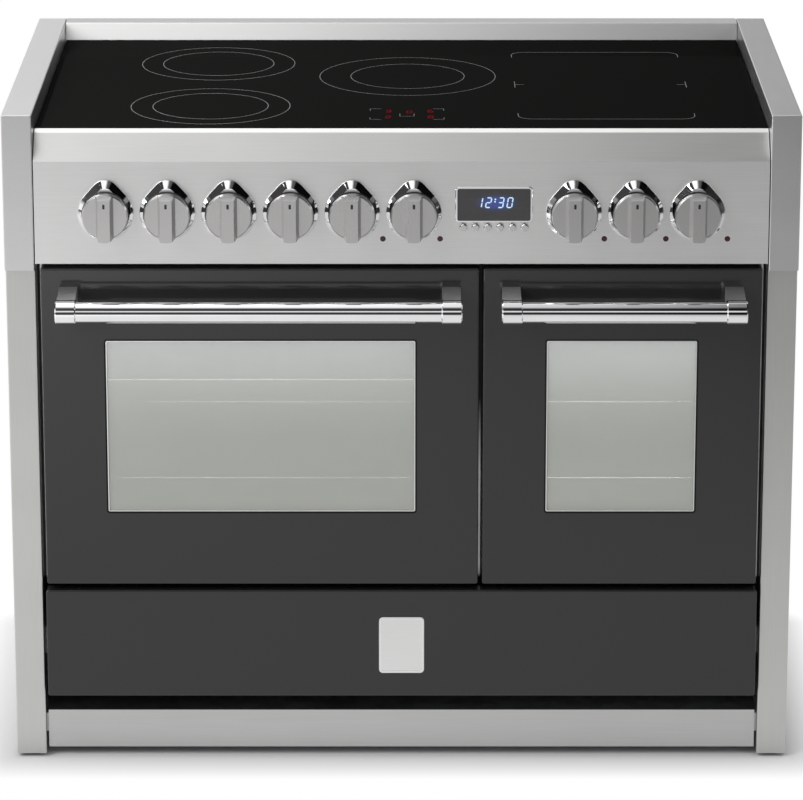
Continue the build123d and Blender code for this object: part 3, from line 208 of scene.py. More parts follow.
def add(tree, kind, inputs=None, **settings):
    """A new node with its settings and inputs."""
    node = tree.nodes.new(kind)
    for name, value in settings.items():
        setattr(node, name, value)
    for name, value in (inputs or {}).items():
        socket_set(tree, node.inputs[name], value)
    return node


def math(tree, operation, first, second=0.0):
    """The result of a Math node."""
    return add(tree, "ShaderNodeMath", {0: first, 1: second}, operation=operation).outputs[0]


def times(tree, first, second):
    """One value multiplied by another."""
    return math(tree, "MULTIPLY", first, second)


def plus(tree, first, second):
    """The sum of two values."""
    return math(tree, "ADD", first, second)


def vectors(tree, operation, first, second=(0.0, 0.0, 0.0)):
    """The outputs of a Vector Math node."""
    return add(tree, "ShaderNodeVectorMath", {0: first, 1: second}, operation=operation).outputs


def stretched(tree, vector, scale):
    """A position multiplied along each axis."""
    return vectors(tree, "MULTIPLY", vector, scale)["Vector"]


def axes(tree, vector):
    """A position's X, Y and Z."""
    return add(tree, "ShaderNodeSeparateXYZ", {"Vector": vector}).outputs


def spread(tree, value, low, high, to_low, to_high):
    """A value carried from one range to another, held at both ends."""
    inputs = {"Value": value, "From Min": low, "From Max": high, "To Min": to_low, "To Max": to_high}
    return add(tree, "ShaderNodeMapRange", inputs).outputs["Result"]


def ramp(tree, share, ends):
    """A share from zero to one carried to the range between two ends."""
    return spread(tree, share, 0.0, 1.0, ends[0], ends[1])


def rising(tree, value, limits):
    """A mask that goes from zero at the lower limit to one at the upper."""
    return spread(tree, value, limits[0], limits[1], 0.0, 1.0)


def falling(tree, value, limits):
    """A mask that goes from one at the lower limit to zero at the upper."""
    return spread(tree, value, limits[0], limits[1], 1.0, 0.0)


def between(tree, value, limits, soft):
    """A mask that is one between two limits and falls to zero softly outside them."""
    low, high = limits
    return times(tree, rising(tree, value, (low - soft, low)), falling(tree, value, (high, high + soft)))


def blend_colours(tree, factor, first, second):
    """One colour turning into another."""
    node = add(tree, "ShaderNodeMix", data_type="RGBA")
    socket_set(tree, node.inputs["Factor"], factor)
    socket_set(tree, node.inputs[6], first)
    socket_set(tree, node.inputs[7], second)
    return node.outputs[2]


def noise(tree, vector, scale, detail=3.0, roughness=0.5):
    """A soft noise value."""
    inputs = {"Vector": vector, "Scale": scale, "Detail": detail, "Roughness": roughness}
    return add(tree, "ShaderNodeTexNoise", inputs).outputs["Fac"]


def bump(tree, height, strength, distance):
    """A normal from a height."""
    inputs = {"Height": height, "Strength": strength, "Distance": distance}
    return add(tree, "ShaderNodeBump", inputs).outputs["Normal"]


def shader_group(name, sizes, outs):
    """An empty shader group with a position, sizes and outputs; gives it and its two sides."""
    group = bpy.data.node_groups.new(name, "ShaderNodeTree")
    group.interface.new_socket("Position", in_out="INPUT", socket_type="NodeSocketVector")
    for socket, kind in sizes:
        group.interface.new_socket(socket, in_out="INPUT", socket_type=kind)
    for socket in outs:
        group.interface.new_socket(socket, in_out="OUTPUT", socket_type="NodeSocketFloat")
    return group, group.nodes.new("NodeGroupInput").outputs, group.nodes.new("NodeGroupOutput").inputs


def make_brushing():
    """Brushed metal: fine streaks along one direction, and slow clouds between them."""
    sizes = [("Stretch", "NodeSocketVector"), ("Cloud Size", "NodeSocketFloat")]
    group, given, result = shader_group("brushing", sizes, ["Streak", "Cloud"])
    streaks = stretched(group, given["Position"], given["Stretch"])
    fine = noise(group, streaks, 1.0, detail=4.0, roughness=0.65)
    group.links.new(rising(group, fine, (0.3, 0.7)), result["Streak"])
    group.links.new(noise(group, given["Position"], given["Cloud Size"], detail=2.0), result["Cloud"])
    return group


def make_handling():
    """Traces of use: soft smears left by wiping, and a fine grain of dust."""
    sizes = [("Smear Size", "NodeSocketFloat"), ("Dust Size", "NodeSocketFloat")]
    group, given, result = shader_group("handling", sizes, ["Smear", "Dust"])
    flattened = stretched(group, given["Position"], (1.0, 1.0, 2.2))
    smear = noise(group, flattened, given["Smear Size"], detail=3.0, roughness=0.6)
    group.links.new(rising(group, smear, (0.42, 0.7)), result["Smear"])
    dust = noise(group, given["Position"], given["Dust Size"], detail=2.0, roughness=0.7)
    group.links.new(rising(group, dust, (0.62, 0.8)), result["Dust"])
    return group


def make_coat_ripple():
    """Sprayed or fired coat: the shallow ripple of its surface, and small specks in it."""
    sizes = [("Ripple Size", "NodeSocketFloat"), ("Speck Size", "NodeSocketFloat")]
    group, given, result = shader_group("coat_ripple", sizes, ["Ripple", "Specks"])
    group.links.new(noise(group, given["Position"], given["Ripple Size"], detail=1.0), result["Ripple"])
    cells = add(group, "ShaderNodeTexVoronoi", {"Vector": given["Position"], "Scale": given["Speck Size"]})
    group.links.new(falling(group, cells.outputs["Distance"], (0.08, 0.2)), result["Specks"])
    return group


BRUSHING = make_brushing()
HANDLING = make_handling()
COAT_RIPPLE = make_coat_ripple()
MATERIALS = {}


def start_material(name):
    """A new empty material, kept under its own name; gives its node tree and its position in metres."""
    material = bpy.data.materials.new(name)
    material.use_nodes = True
    MATERIALS[name] = material
    tree = material.node_tree
    tree.nodes.clear()
    return tree, add(tree, "ShaderNodeTexCoord").outputs["Object"]


def close_material(tree, shader):
    """Connects a material's shader to its output."""
    add(tree, "ShaderNodeOutputMaterial", {"Surface": shader})


def close_surface(tree, inputs):
    """Ends a material in a Principled shader with these inputs."""
    shader = add(tree, "ShaderNodeBsdfPrincipled", inputs)
    close_material(tree, shader.outputs["BSDF"])


def use_group(tree, group, values):
    """A shader group placed in a material with its own values."""
    node = tree.nodes.new("ShaderNodeGroup")
    node.node_tree = group
    for name, value in values.items():
        socket_set(tree, node.inputs[name], value)
    return node.outputs


def rgb(red, green, blue):
    """A colour."""
    return (red, green, blue, 1.0)


def grey(level):
    """A neutral colour."""
    return rgb(level, level, level)


# Values that several finishes share
STREAK_SHARE = 0.6
STREAK_DEPTH = 0.05 * MM
RIPPLE_DEPTH = 0.1 * MM
SPECK_SHARE = 0.6
SMEAR_DULLING = 0.05
WORKTOP_BLAST_ROUGH = 0.30
WORKTOP_BLAST_BARE = 0.35
POST_BLAST_ROUGH = 0.38
BLASTED_PALE = rgb(0.50, 0.50, 0.495)
# Dark colour of painted shade, laid on metal where shade falls
PAINTED_SHADE_DARK = grey(0.03)
BLACK = grey(0.0)
WHITE = grey(1.0)


def brushed_metal(name, dark, light, stretch, rough, cloud=3.0, relief=0.12, blasted=None, painted_shade=None):
    """Brushed or satin metal whose grain runs along the axis with the smallest stretch.

    Blasted is a mask for the share of a rough, pale finish at a position; the other mask gives the share of
    painted shade, a dark colour laid where shade falls.
    """
    tree, position = start_material(name)
    brushing = use_group(tree, BRUSHING, {"Position": position, "Stretch": stretch, "Cloud Size": cloud})
    handling = use_group(tree, HANDLING, {"Position": position, "Smear Size": 5.0, "Dust Size": 900.0})
    streaks = times(tree, brushing["Streak"], STREAK_SHARE)
    clouds = times(tree, brushing["Cloud"], 1.0 - STREAK_SHARE)
    colour = blend_colours(tree, plus(tree, streaks, clouds), dark, light)
    # Painted shade: the masked part is darkened towards black
    if painted_shade:
        colour = blend_colours(tree, painted_shade(tree, position), colour, PAINTED_SHADE_DARK)
    gloss = ramp(tree, brushing["Streak"], rough)
    gloss = plus(tree, gloss, times(tree, handling["Smear"], SMEAR_DULLING))
    metal = 1.0
    if blasted:
        share = blasted(tree, position)
        gloss = plus(tree, gloss, times(tree, share, WORKTOP_BLAST_ROUGH))
        metal = ramp(tree, share, (1.0, WORKTOP_BLAST_BARE))
        pale = times(tree, share, 1.0 - WORKTOP_BLAST_BARE)
        colour = blend_colours(tree, pale, colour, BLASTED_PALE)
    close_surface(tree, {
        "Base Color": colour,
        "Metallic": metal,
        "Roughness": gloss,
        "Normal": bump(tree, brushing["Streak"], relief, STREAK_DEPTH),
    })


def polished_metal(name, colour, rough, smear, blasted=None):
    """Plated or polished metal with the faintest wiping marks, and a blasted part if a mask is given."""
    tree, position = start_material(name)
    handling = use_group(tree, HANDLING, {"Position": position, "Smear Size": 14.0, "Dust Size": 1500.0})
    gloss = ramp(tree, handling["Smear"], (rough, rough + smear))
    if blasted:
        gloss = plus(tree, gloss, times(tree, blasted(tree, position), POST_BLAST_ROUGH))
    smeared = rgb(*[0.96 * part for part in colour[:3]])
    tone = blend_colours(tree, handling["Smear"], colour, smeared)
    close_surface(tree, {"Base Color": tone, "Metallic": 1.0, "Roughness": gloss})


def coated(name, colour, speck, rough, ripple=900.0, relief=0.05, speck_size=500.0, shine=0.5):
    """Enamel, paint, print, rubber or moulded plastic: a rippled coat with small specks and wiping marks."""
    tree, position = start_material(name)
    sizes = {"Ripple Size": ripple, "Speck Size": speck_size}
    coat = use_group(tree, COAT_RIPPLE, {"Position": position, **sizes})
    handling = use_group(tree, HANDLING, {"Position": position, "Smear Size": 6.0, "Dust Size": 1200.0})
    close_surface(tree, {
        "Base Color": blend_colours(tree, times(tree, coat["Specks"], SPECK_SHARE), colour, speck),
        "Roughness": ramp(tree, handling["Smear"], rough),
        "Specular IOR Level": shine,
        "Normal": bump(tree, coat["Ripple"], relief, RIPPLE_DEPTH),
    })


def galvanised(name):
    """Zinc-coated sheet: pale crystal patches that catch the light differently."""
    tree, position = start_material(name)
    crystals = add(tree, "ShaderNodeTexVoronoi", {"Vector": position, "Scale": 70.0, "Randomness": 1.0})
    shade = add(tree, "ShaderNodeSeparateColor", {"Color": crystals.outputs["Color"]}).outputs["Red"]
    handling = use_group(tree, HANDLING, {"Position": position, "Smear Size": 4.0, "Dust Size": 700.0})
    gloss = ramp(tree, shade, (0.38, 0.44))
    close_surface(tree, {
        "Base Color": blend_colours(tree, shade, rgb(0.47, 0.48, 0.49), rgb(0.58, 0.59, 0.60)),
        "Metallic": 1.0,
        "Roughness": plus(tree, gloss, times(tree, handling["Smear"], 0.08)),
    })


def ceramic_glass(name):
    """Black glass-ceramic: deep and glossy, with wiping marks and dust that barely show."""
    tree, position = start_material(name)
    handling = use_group(tree, HANDLING, {"Position": position, "Smear Size": 3.5, "Dust Size": 800.0})
    clean, dusty = rgb(0.0042, 0.0042, 0.0036), rgb(0.0060, 0.0060, 0.0052)
    close_surface(tree, {
        "Base Color": blend_colours(tree, handling["Dust"], clean, dusty),
        "Roughness": ramp(tree, handling["Smear"], (0.30, 0.36)),
        "Specular IOR Level": 0.0,
        "Coat Weight": 0.033,
        "Coat Roughness": 0.03,
    })


def oven_window(name):
    """Door glass: the outer pane has a reflecting coat with a painted reflection that makes it paler near
    its top; the inner is almost clear.
    """
    tree, position = start_material(name)
    place = axes(tree, position)
    handling = use_group(tree, HANDLING, {"Position": position, "Smear Size": 4.0, "Dust Size": 600.0})
    # Painted reflection: the coat turns paler towards the top of the pane
    height = math(tree, "POWER", rising(tree, place["Z"], WINDOW_PAINTED_REFLECTION), 3.0)
    coat = blend_colours(tree, height, rgb(0.46, 0.47, 0.43), rgb(0.88, 0.90, 0.885))
    inner = math(tree, "GREATER_THAN", place["Y"], OUTER_PANE_BACK)
    smears = times(tree, handling["Smear"], 0.2)
    close_surface(tree, {
        "Base Color": blend_colours(tree, smears, coat, rgb(0.55, 0.57, 0.54)),
        "Roughness": ramp(tree, handling["Smear"], (0.10, 0.16)),
        "Alpha": ramp(tree, inner, (0.71, 0.10)),
    })


def smoked_lens(name):
    """Smoked display lens with a painted blue glow in it, standing in for the light of the lit digits."""
    tree, position = start_material(name)
    offset = vectors(tree, "SUBTRACT", position, PAINTED_GLOW_MIDDLE)["Vector"]
    reach = vectors(tree, "LENGTH", stretched(tree, offset, PAINTED_GLOW_SHAPE))["Value"]
    painted_glow = falling(tree, reach, (0.45, 1.15))
    handling = use_group(tree, HANDLING, {"Position": position, "Smear Size": 30.0, "Dust Size": 1500.0})
    clean, smeared = rgb(0.040, 0.039, 0.041), rgb(0.048, 0.047, 0.049)
    close_surface(tree, {
        "Base Color": blend_colours(tree, handling["Smear"], clean, smeared),
        "Roughness": ramp(tree, handling["Smear"], (0.16, 0.24)),
        # Painted glow: the lens emits blue light near the digits
        "Emission Color": blend_colours(tree, times(tree, painted_glow, painted_glow), BLACK, rgb(0.006, 0.030, 0.20)),
        "Emission Strength": 1.0,
    })


def lit(name, edge, core):
    """A glowing print, a little uneven along its length."""
    tree, position = start_material(name)
    colour = blend_colours(tree, noise(tree, position, 700.0, detail=2.0), edge, core)
    close_surface(tree, {
        "Base Color": blend_colours(tree, 0.06, BLACK, colour),
        "Roughness": 0.6,
        "Specular IOR Level": 0.0,
        "Emission Color": colour,
        "Emission Strength": 1.0,
    })


def on_upstand(tree, position):
    """The back of the worktop, behind the glass."""
    return rising(tree, axes(tree, position)["Y"], UPSTAND_BLAST)


def on_post(tree, position):
    """The handle posts, behind the ferrules."""
    return rising(tree, axes(tree, position)["Y"], POST_BLAST)


def painted_shade_under_knob(tree, position):
    """Painted shade: the back edge of a knob's disc, darkened where the gap over its collar is in shadow."""
    return rising(tree, axes(tree, position)["Y"], KNOB_SHADE)


def painted_gap_shade(tree, position):
    """Painted shade on the oven frame: all of it but the narrow bare strips seen through the gaps beside the
    doors, so the gaps look dark.
    """
    place = axes(tree, position)
    left = between(tree, place["X"], LEFT_STRIP, STRIP_EDGE)
    right = between(tree, place["X"], RIGHT_STRIP, STRIP_EDGE)
    middle = between(tree, place["X"], MIDDLE_STRIP, STRIP_EDGE)
    middle = times(tree, middle, falling(tree, place["Z"], MIDDLE_STRIP_END))
    bare = plus(tree, plus(tree, left, right), middle)
    return math(tree, "SUBTRACT", 1.0, bare)


# Stretch of the brushing, smallest along its grain
GRAIN_ACROSS = (14.0, 900.0, 900.0)
GRAIN_UP = (900.0, 900.0, 10.0)
GRAIN_BACK = (900.0, 10.0, 900.0)


def make_finishes():
    """Every finish of the cooker."""
    # Control panel steel: a base paler than the other steel parts, which is painted light
    brushed_metal("panel_steel_painted_light", rgb(0.80, 0.80, 0.795), rgb(0.88, 0.88, 0.87), GRAIN_ACROSS, (0.34, 0.40))
    brushed_metal(
        "worktop_steel", rgb(0.58, 0.58, 0.575), rgb(0.65, 0.65, 0.64), GRAIN_ACROSS, (0.28, 0.34),
        blasted=on_upstand,
    )
    # Plinth steel: a little darker than the side steel, which is painted shade
    brushed_metal(
        "plinth_steel_painted_shade", rgb(0.52, 0.52, 0.515), rgb(0.60, 0.60, 0.595), GRAIN_ACROSS, (0.34, 0.40),
    )
    brushed_metal("side_steel", rgb(0.56, 0.56, 0.545), rgb(0.64, 0.64, 0.62), GRAIN_UP, (0.32, 0.40))
    brushed_metal("cheek_steel", grey(0.64), rgb(0.73, 0.73, 0.725), GRAIN_BACK, (0.28, 0.36))
    # Knobs: the back edge of each disc carries painted shade
    brushed_metal(
        "knob_metal", rgb(0.57, 0.565, 0.56), rgb(0.61, 0.605, 0.60), GRAIN_UP, (0.26, 0.29),
        cloud=20.0, relief=0.012, painted_shade=painted_shade_under_knob,
    )
    brushed_metal(
        "button_metal", rgb(0.70, 0.70, 0.69), rgb(0.80, 0.80, 0.79), GRAIN_UP, (0.22, 0.28),
        cloud=40.0, relief=0.03,
    )
    brushed_metal("liner_steel", grey(0.42), grey(0.52), GRAIN_ACROSS, (0.30, 0.38))
    # Oven frame: a base paler than steel that lights up the strips in the door gaps, which is painted light,
    # and painted shade over the rest so the gaps look dark
    brushed_metal(
        "frame_steel_painted_light_and_shade", grey(0.84), grey(0.92), GRAIN_UP, (0.30, 0.38), painted_shade=painted_gap_shade,
    )
    brushed_metal(
        "element_sheath", rgb(0.16, 0.15, 0.14), rgb(0.26, 0.25, 0.24), GRAIN_BACK, (0.45, 0.55), cloud=30.0,
    )
    brushed_metal("fan_metal", grey(0.45), grey(0.58), GRAIN_UP, (0.30, 0.40), cloud=15.0)
    brushed_metal(
        "coil_copper", rgb(0.42, 0.18, 0.09), rgb(0.70, 0.36, 0.20), GRAIN_BACK, (0.30, 0.45), cloud=25.0,
    )
    polished_metal("chrome", rgb(0.86, 0.86, 0.87), 0.035, 0.03)
    polished_metal("post_chrome", rgb(0.86, 0.86, 0.87), 0.035, 0.03, blasted=on_post)
    polished_metal("wire_chrome", grey(0.74), 0.28, 0.08)
    polished_metal("screw_zinc", rgb(0.34, 0.33, 0.30), 0.24, 0.10)
    polished_metal("trim_bright", rgb(0.72, 0.73, 0.72), 0.16, 0.05)
    galvanised("zinc_sheet")
    coated("charcoal_enamel", grey(0.016), grey(0.024), (0.07, 0.11), relief=0.01)
    coated(
        "oven_enamel", rgb(0.20, 0.205, 0.21), rgb(0.55, 0.56, 0.58), (0.18, 0.30),
        ripple=500.0, relief=0.08, speck_size=260.0,
    )
    coated("black_plastic", rgb(0.020, 0.020, 0.021), grey(0.03), (0.45, 0.58), ripple=1600.0, relief=0.12)
    coated("seal_rubber", grey(0.022), grey(0.035), (0.62, 0.75), ripple=700.0, relief=0.2)
    # Gasket: near black, which is partly painted shade of the window's reveal
    coated("gasket_and_painted_shade", grey(0.005), grey(0.008), (0.6, 0.7), relief=0.02, shine=0.15)
    coated(
        "board_green", rgb(0.02, 0.13, 0.06), rgb(0.5, 0.45, 0.25), (0.35, 0.45),
        ripple=400.0, relief=0.1, speck_size=160.0,
    )
    coated("lamp_red", rgb(0.055, 0.005, 0.005), rgb(0.13, 0.014, 0.012), (0.10, 0.18), relief=0.02)
    coated("print_grey", rgb(0.17, 0.17, 0.165), rgb(0.24, 0.24, 0.235), (0.5, 0.6), relief=0.02)
    coated("mark_black", grey(0.010), grey(0.016), (0.5, 0.6), relief=0.02)
    ceramic_glass("hob_glass")
    oven_window("door_glass")
    smoked_lens("display_lens")
    lit("digit_blue", rgb(0.34, 0.62, 1.0), rgb(0.82, 0.93, 1.0))
    lit("digit_red", rgb(0.16, 0.002, 0.008), rgb(0.30, 0.006, 0.016))


KNOBS = [name for name in NODES if name.startswith("knob_") and name != "knob_collars"]
CLOCK_BUTTONS = [name for name in NODES if name.startswith("clock_button_")]
NODE_FINISH = {
    "panel_steel_painted_light": ["control_panel"],
    "worktop_steel": ["hob_frame"],
    "plinth_steel_painted_shade": ["plinth"],
    "side_steel": ["side_panels"],
    "cheek_steel": ["top_cheeks"],
    "liner_steel": ["left_door_liner", "right_door_liner"],
    "frame_steel_painted_light_and_shade": ["oven_face_frame"],
    "zinc_sheet": [
        "base_pan", "rear_panel", "coil_tray", "hinge_brackets",
        "drawer_runners", "drawer_slides", "drawer_box",
    ],
    "charcoal_enamel": ["left_door_panel", "right_door_panel", "drawer_front"],
    "oven_enamel": ["left_oven_cavity", "right_oven_cavity", "fan_baffle"],
    "hob_glass": ["hob_glass"],
    "door_glass": ["left_door_glass", "right_door_glass"],
    "display_lens": ["display_window"],
    "chrome": ["knob_collars", "left_handle_bar", "right_handle_bar", "display_bezel"],
    "post_chrome": ["left_handle_posts", "right_handle_posts"],
    "wire_chrome": ["rack_guides", "left_oven_shelves", "right_oven_shelf"],
    "black_plastic": ["switch_bodies", "clock_module", "terminal_box", "levelling_feet"],
    "lamp_red": ["indicator_lamps"],
    "seal_rubber": ["door_seals"],
    "coil_copper": ["induction_coils"],
    "board_green": ["power_boards"],
    "element_sheath": ["heating_elements"],
    "fan_metal": ["oven_fan", "fan_motor"],
    "knob_metal": KNOBS,
    "button_metal": CLOCK_BUTTONS,
}


def dress_nodes():
    """Gives every carried-over solid its finish."""
    for finish, names in NODE_FINISH.items():
        for name in names:
            mesh = NODES[name].data
            mesh.materials.clear()
            mesh.materials.append(MATERIALS[finish])


def add_piece(name, mesh, finish, body):
    """Puts a finished mesh into the scene as a piece that rides a body."""
    mesh.materials.clear()
    mesh.materials.append(MATERIALS[finish])
    piece = bpy.data.objects.new(name, mesh)
    bpy.context.scene.collection.objects.link(piece)
    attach(piece, body)


def closed_mesh(name, work):
    """Turns all faces outwards and keeps the work as a mesh."""
    bmesh.ops.recalc_face_normals(work, faces=work.faces)
    mesh = bpy.data.meshes.new(name)
    work.to_mesh(mesh)
    work.free()
    return mesh


def plates(name, outlines, to_world, thick):
    """Thin plates from flat outlines; to_world carries a point across, up and out to its place."""
    work = bmesh.new()
    for outline in outlines:
        low = [work.verts.new(to_world(x, y, 0.0)) for x, y in outline]
        high = [work.verts.new(to_world(x, y, thick)) for x, y in outline]
        work.faces.new(high)
        work.faces.new(list(reversed(low)))
        for i in range(len(outline)):
            j = (i + 1) % len(outline)
            work.faces.new((low[i], low[j], high[j], high[i]))
    return closed_mesh(name, work)


def bands(name, lines, width, to_world, thick):
    """Thin raised bands along lines of points; a line that ends where it starts is a closed loop."""
    work = bmesh.new()
    for line in lines:
        closed = line[0] == line[-1]
        points = [Vector(p) for p in (line[:-1] if closed else line)]
        rows = []
        for i, point in enumerate(points):
            before = points[i - 1] if closed or i else point
            after = points[(i + 1) % len(points)] if closed or i + 1 < len(points) else point
            run = (after - before).normalized()
            side = Vector((-run.y, run.x)) * width / 2
            left, right = point + side, point - side
            corners = [(left, 0.0), (right, 0.0), (right, thick), (left, thick)]
            rows.append([work.verts.new(to_world(p.x, p.y, h)) for p, h in corners])
        pairs = list(zip(rows, rows[1:])) + ([(rows[-1], rows[0])] if closed else [])
        for first, second in pairs:
            for k in range(4):
                work.faces.new((first[k], first[(k + 1) % 4], second[(k + 1) % 4], second[k]))
        if not closed:
            work.faces.new(rows[0])
            work.faces.new(rows[-1])
    return closed_mesh(name, work)


def loop(points):
    """A line of points that ends where it starts."""
    return points + [points[0]]


def arc(middle, radius, start, end, steps):
    """Points along an arc, angles in turns."""
    turns = [start + (end - start) * i / steps for i in range(steps + 1)]
    return [(middle[0] + radius * cos(2 * pi * t), middle[1] + radius * sin(2 * pi * t)) for t in turns]


def circle(middle, radius, steps):
    """The outline of a circle."""
    return arc(middle, radius, 0.0, 1.0, steps)[:-1]


def ring(middle, radius):
    """A closed circular line."""
    return loop(circle(middle, radius, 96))


def rounded_rectangle(x, y, corner, steps=5):
    """The outline of a rectangle with rounded corners, between limits."""
    points = []
    for cx, cy, turn in (
        (x[1] - corner, y[1] - corner, 0.0),
        (x[0] + corner, y[1] - corner, 0.25),
        (x[0] + corner, y[0] + corner, 0.5),
        (x[1] - corner, y[0] + corner, 0.75),
    ):
        points += arc((cx, cy), corner, turn, turn + 0.25, steps)
    return points


def drawn_in(limits, by):
    """Limits moved towards each other."""
    return (limits[0] + by, limits[1] - by)


def on_hob(x, y, out):
    """A print position, across and back from the front plane, on top of the glass."""
    return (x, FRONT_Y + y, HOB_TOP + out)


def on_front(depth):
    """Positions across and up on an upright plane at this depth behind the front plane."""
    return lambda x, z, out: (x, FRONT_Y + depth - out, z)


def bracket_line(x, y, tail, corner, back):
    """A straight print line whose rounded ends turn towards the front or the back."""
    way = -1 if back else 1
    left = arc((x[0] + corner, y + way * corner), corner, 0.5, 0.5 + way * 0.25, 6)
    right = [(x[0] + x[1] - px, py) for px, py in reversed(left)]
    end = y + way * (corner + tail)
    return [(x[0], end)] + left + right + [(x[1], end)]


def add_hob_print():
    """Cooking-zone rings and the bridge zone's brackets on the glass."""
    lines = []
    for x, y, outer, inner in ROUND_ZONES:
        lines += [ring((x, y), outer), ring((x, y), inner)]
    lines.append(bracket_line(BRIDGE_X, BRIDGE_Y[0], BRIDGE_TAIL, BRIDGE_CORNER, False))
    lines.append(bracket_line(BRIDGE_X, BRIDGE_Y[1], BRIDGE_TAIL, BRIDGE_CORNER, True))
    middle = (BRIDGE_Y[0] + BRIDGE_Y[1]) / 2
    for x, way in ((BRIDGE_X[0], 1), (BRIDGE_X[1], -1)):
        lines.append([(x, middle - BRIDGE_TICK), (x, middle + BRIDGE_TICK)])
        lines.append([(x, middle), (x + way * BRIDGE_STUB, middle)])
    mesh = bands("hob_print", lines, PRINT_LINE, on_hob, PRINT_THICK)
    add_piece("hob_print", mesh, "print_grey", "cabinet")


def add_touch_field():
    """Touch field on the glass: corner brackets, a lock frame and small red level digits."""
    lines = []
    for sx in (-1, 1):
        for sy in (-1, 1):
            x, y = TOUCH_X + sx * TOUCH_HALF_WIDTH, TOUCH_Y + sy * TOUCH_HALF_DEPTH
            lines.append([(x, y - sy * TOUCH_CORNER_DEPTH), (x, y), (x - sx * TOUCH_CORNER_WIDTH, y)])
    left, right = TOUCH_X - LOCK_HALF_WIDTH, TOUCH_X + LOCK_HALF_WIDTH
    front, back = TOUCH_Y + LOCK_Y[0], TOUCH_Y + LOCK_Y[1]
    lines.append([(left, back), (left, front), (right, front), (right, back)])
    mesh = bands("touch_print", lines, PRINT_LINE, on_hob, PRINT_THICK)
    add_piece("touch_print", mesh, "print_grey", "cabinet")
    bars = []
    for dx, dy, figure in LEVEL_FIGURES:
        corner = (TOUCH_X + dx, TOUCH_Y + dy)
        bars += seven_segments(figure, corner, LEVEL_WIDTH, LEVEL_HEIGHT, LEVEL_STROKE, 0.0)
    mesh = plates("touch_digits", bars, on_hob, PRINT_THICK)
    add_piece("touch_digits", mesh, "digit_red", "cabinet")


def pointed_bar(low, high, half):
    """The outline of a flat bar along the first axis, pointed at both ends."""
    return [
        (low, 0.0),
        (low + half, half),
        (high - half, half),
        (high, 0.0),
        (high - half, -half),
        (low + half, -half),
    ]


def seven_segments(figure, corner, width, height, stroke, slant):
    """Outlines of the bars of one seven-segment figure whose lower left corner is given."""
    half = stroke / 2
    gap = stroke * SEGMENT_GAP
    levels = {"d": 0.0, "g": height / 2, "a": height}
    outlines = []
    for bar in SEGMENTS[figure]:
        if bar in levels:
            outline = [(along, levels[bar] + aside) for along, aside in pointed_bar(gap, width - gap, half)]
        else:
            x = width if bar in "bc" else 0.0
            low = (height / 2 if bar in "bf" else 0.0) + gap
            high = low + height / 2 - 2 * gap
            outline = [(x + aside, along) for along, aside in pointed_bar(low, high, half)]
        outlines.append([(corner[0] + px + slant * py, corner[1] + py) for px, py in outline])
    return outlines


def add_clock_digits():
    """The lit time on the display: four slanted figures and two points between them."""
    low = LENS_HIGH.z - DIGIT_DROP - DIGIT_HEIGHT
    outlines = []
    for i, figure in enumerate(CLOCK_TIME):
        start = CLOCK_MIDDLE + (i - 2) * DIGIT_PITCH + (COLON_GAP if i > 1 else 0.0)
        corner = (start, low)
        outlines += seven_segments(figure, corner, DIGIT_WIDTH, DIGIT_HEIGHT, DIGIT_STROKE, DIGIT_SLANT)
    foot = CLOCK_MIDDLE - (DIGIT_PITCH - DIGIT_WIDTH - COLON_GAP) / 2
    for level in COLON_LEVELS:
        height = DIGIT_HEIGHT * level
        outlines.append(circle((foot + DIGIT_SLANT * height, low + height), COLON_RADIUS, 12))
    mesh = plates("clock_digits", outlines, on_front(LENS_LOW.y - FRONT_Y), DIGIT_THICK)
    add_piece("clock_digits", mesh, "digit_blue", "cabinet")


def add_knob_shade_rings():
    """A thin dark rubber ring round the back of each knob's disc, put where the gap over its collar is in
    shade, so that it stands in for that shade.
    """
    for name in KNOBS:
        low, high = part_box(name)
        radius = (high.x - low.x) / 2
        middle = ((low.x + high.x) / 2, high.z - radius)
        line = ring(middle, radius + SHADE_RING_LIP - SHADE_RING_WIDTH / 2)
        mesh = bands(f"{name}_seal", [line], SHADE_RING_WIDTH, on_front(SHADE_RING_BACK - FRONT_Y), SHADE_RING_DEPTH)
        # Dark ring standing in for the shade of the gap round the disc
        add_piece(f"{name}_seal", mesh, "seal_rubber", name)


def add_knob_marks():
    """A black index mark on the front of each grip bar, near its upper end."""
    for name in KNOBS:
        low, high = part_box(name)
        middle = (low.x + high.x) / 2
        top = high.z - MARK_DROP
        x = (middle - MARK_HALF_WIDTH, middle + MARK_HALF_WIDTH)
        outline = rounded_rectangle(x, (top - MARK_LENGTH, top), MARK_CORNER, 3)
        mesh = plates(f"{name}_mark", [outline], on_front(low.y - FRONT_Y), MARK_THICK)
        add_piece(f"{name}_mark", mesh, "mark_black", name)


def add_window_trims():
    """The bright cut edge of each window pane inside the door skin, and the gasket line round it, near black
    and wide so that it also stands in for the shade in the window's reveal.
    """
    for side in ("left", "right"):
        low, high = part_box(f"{side}_door_glass")
        x = drawn_in((low.x, high.x), WINDOW_LAP)
        z = drawn_in((low.z, high.z), WINDOW_LAP)
        edge = loop(rounded_rectangle(drawn_in(x, TRIM_INSET), drawn_in(z, TRIM_INSET), TRIM_CORNER, 4))
        mesh = bands(f"{side}_window_trim", [edge], TRIM_WIDTH, on_front(TRIM_SINK), TRIM_THICK)
        add_piece(f"{side}_window_trim", mesh, "trim_bright", f"{side}_door")
        x, z = drawn_in(x, -GASKET_OUTSET), drawn_in(z, -GASKET_OUTSET)
        edge = loop(rounded_rectangle(x, z, GASKET_CORNER, 4))
        mesh = bands(f"{side}_window_gasket", [edge], GASKET_WIDTH, on_front(0.0), GASKET_THICK)
        add_piece(f"{side}_window_gasket", mesh, "gasket_and_painted_shade", f"{side}_door")


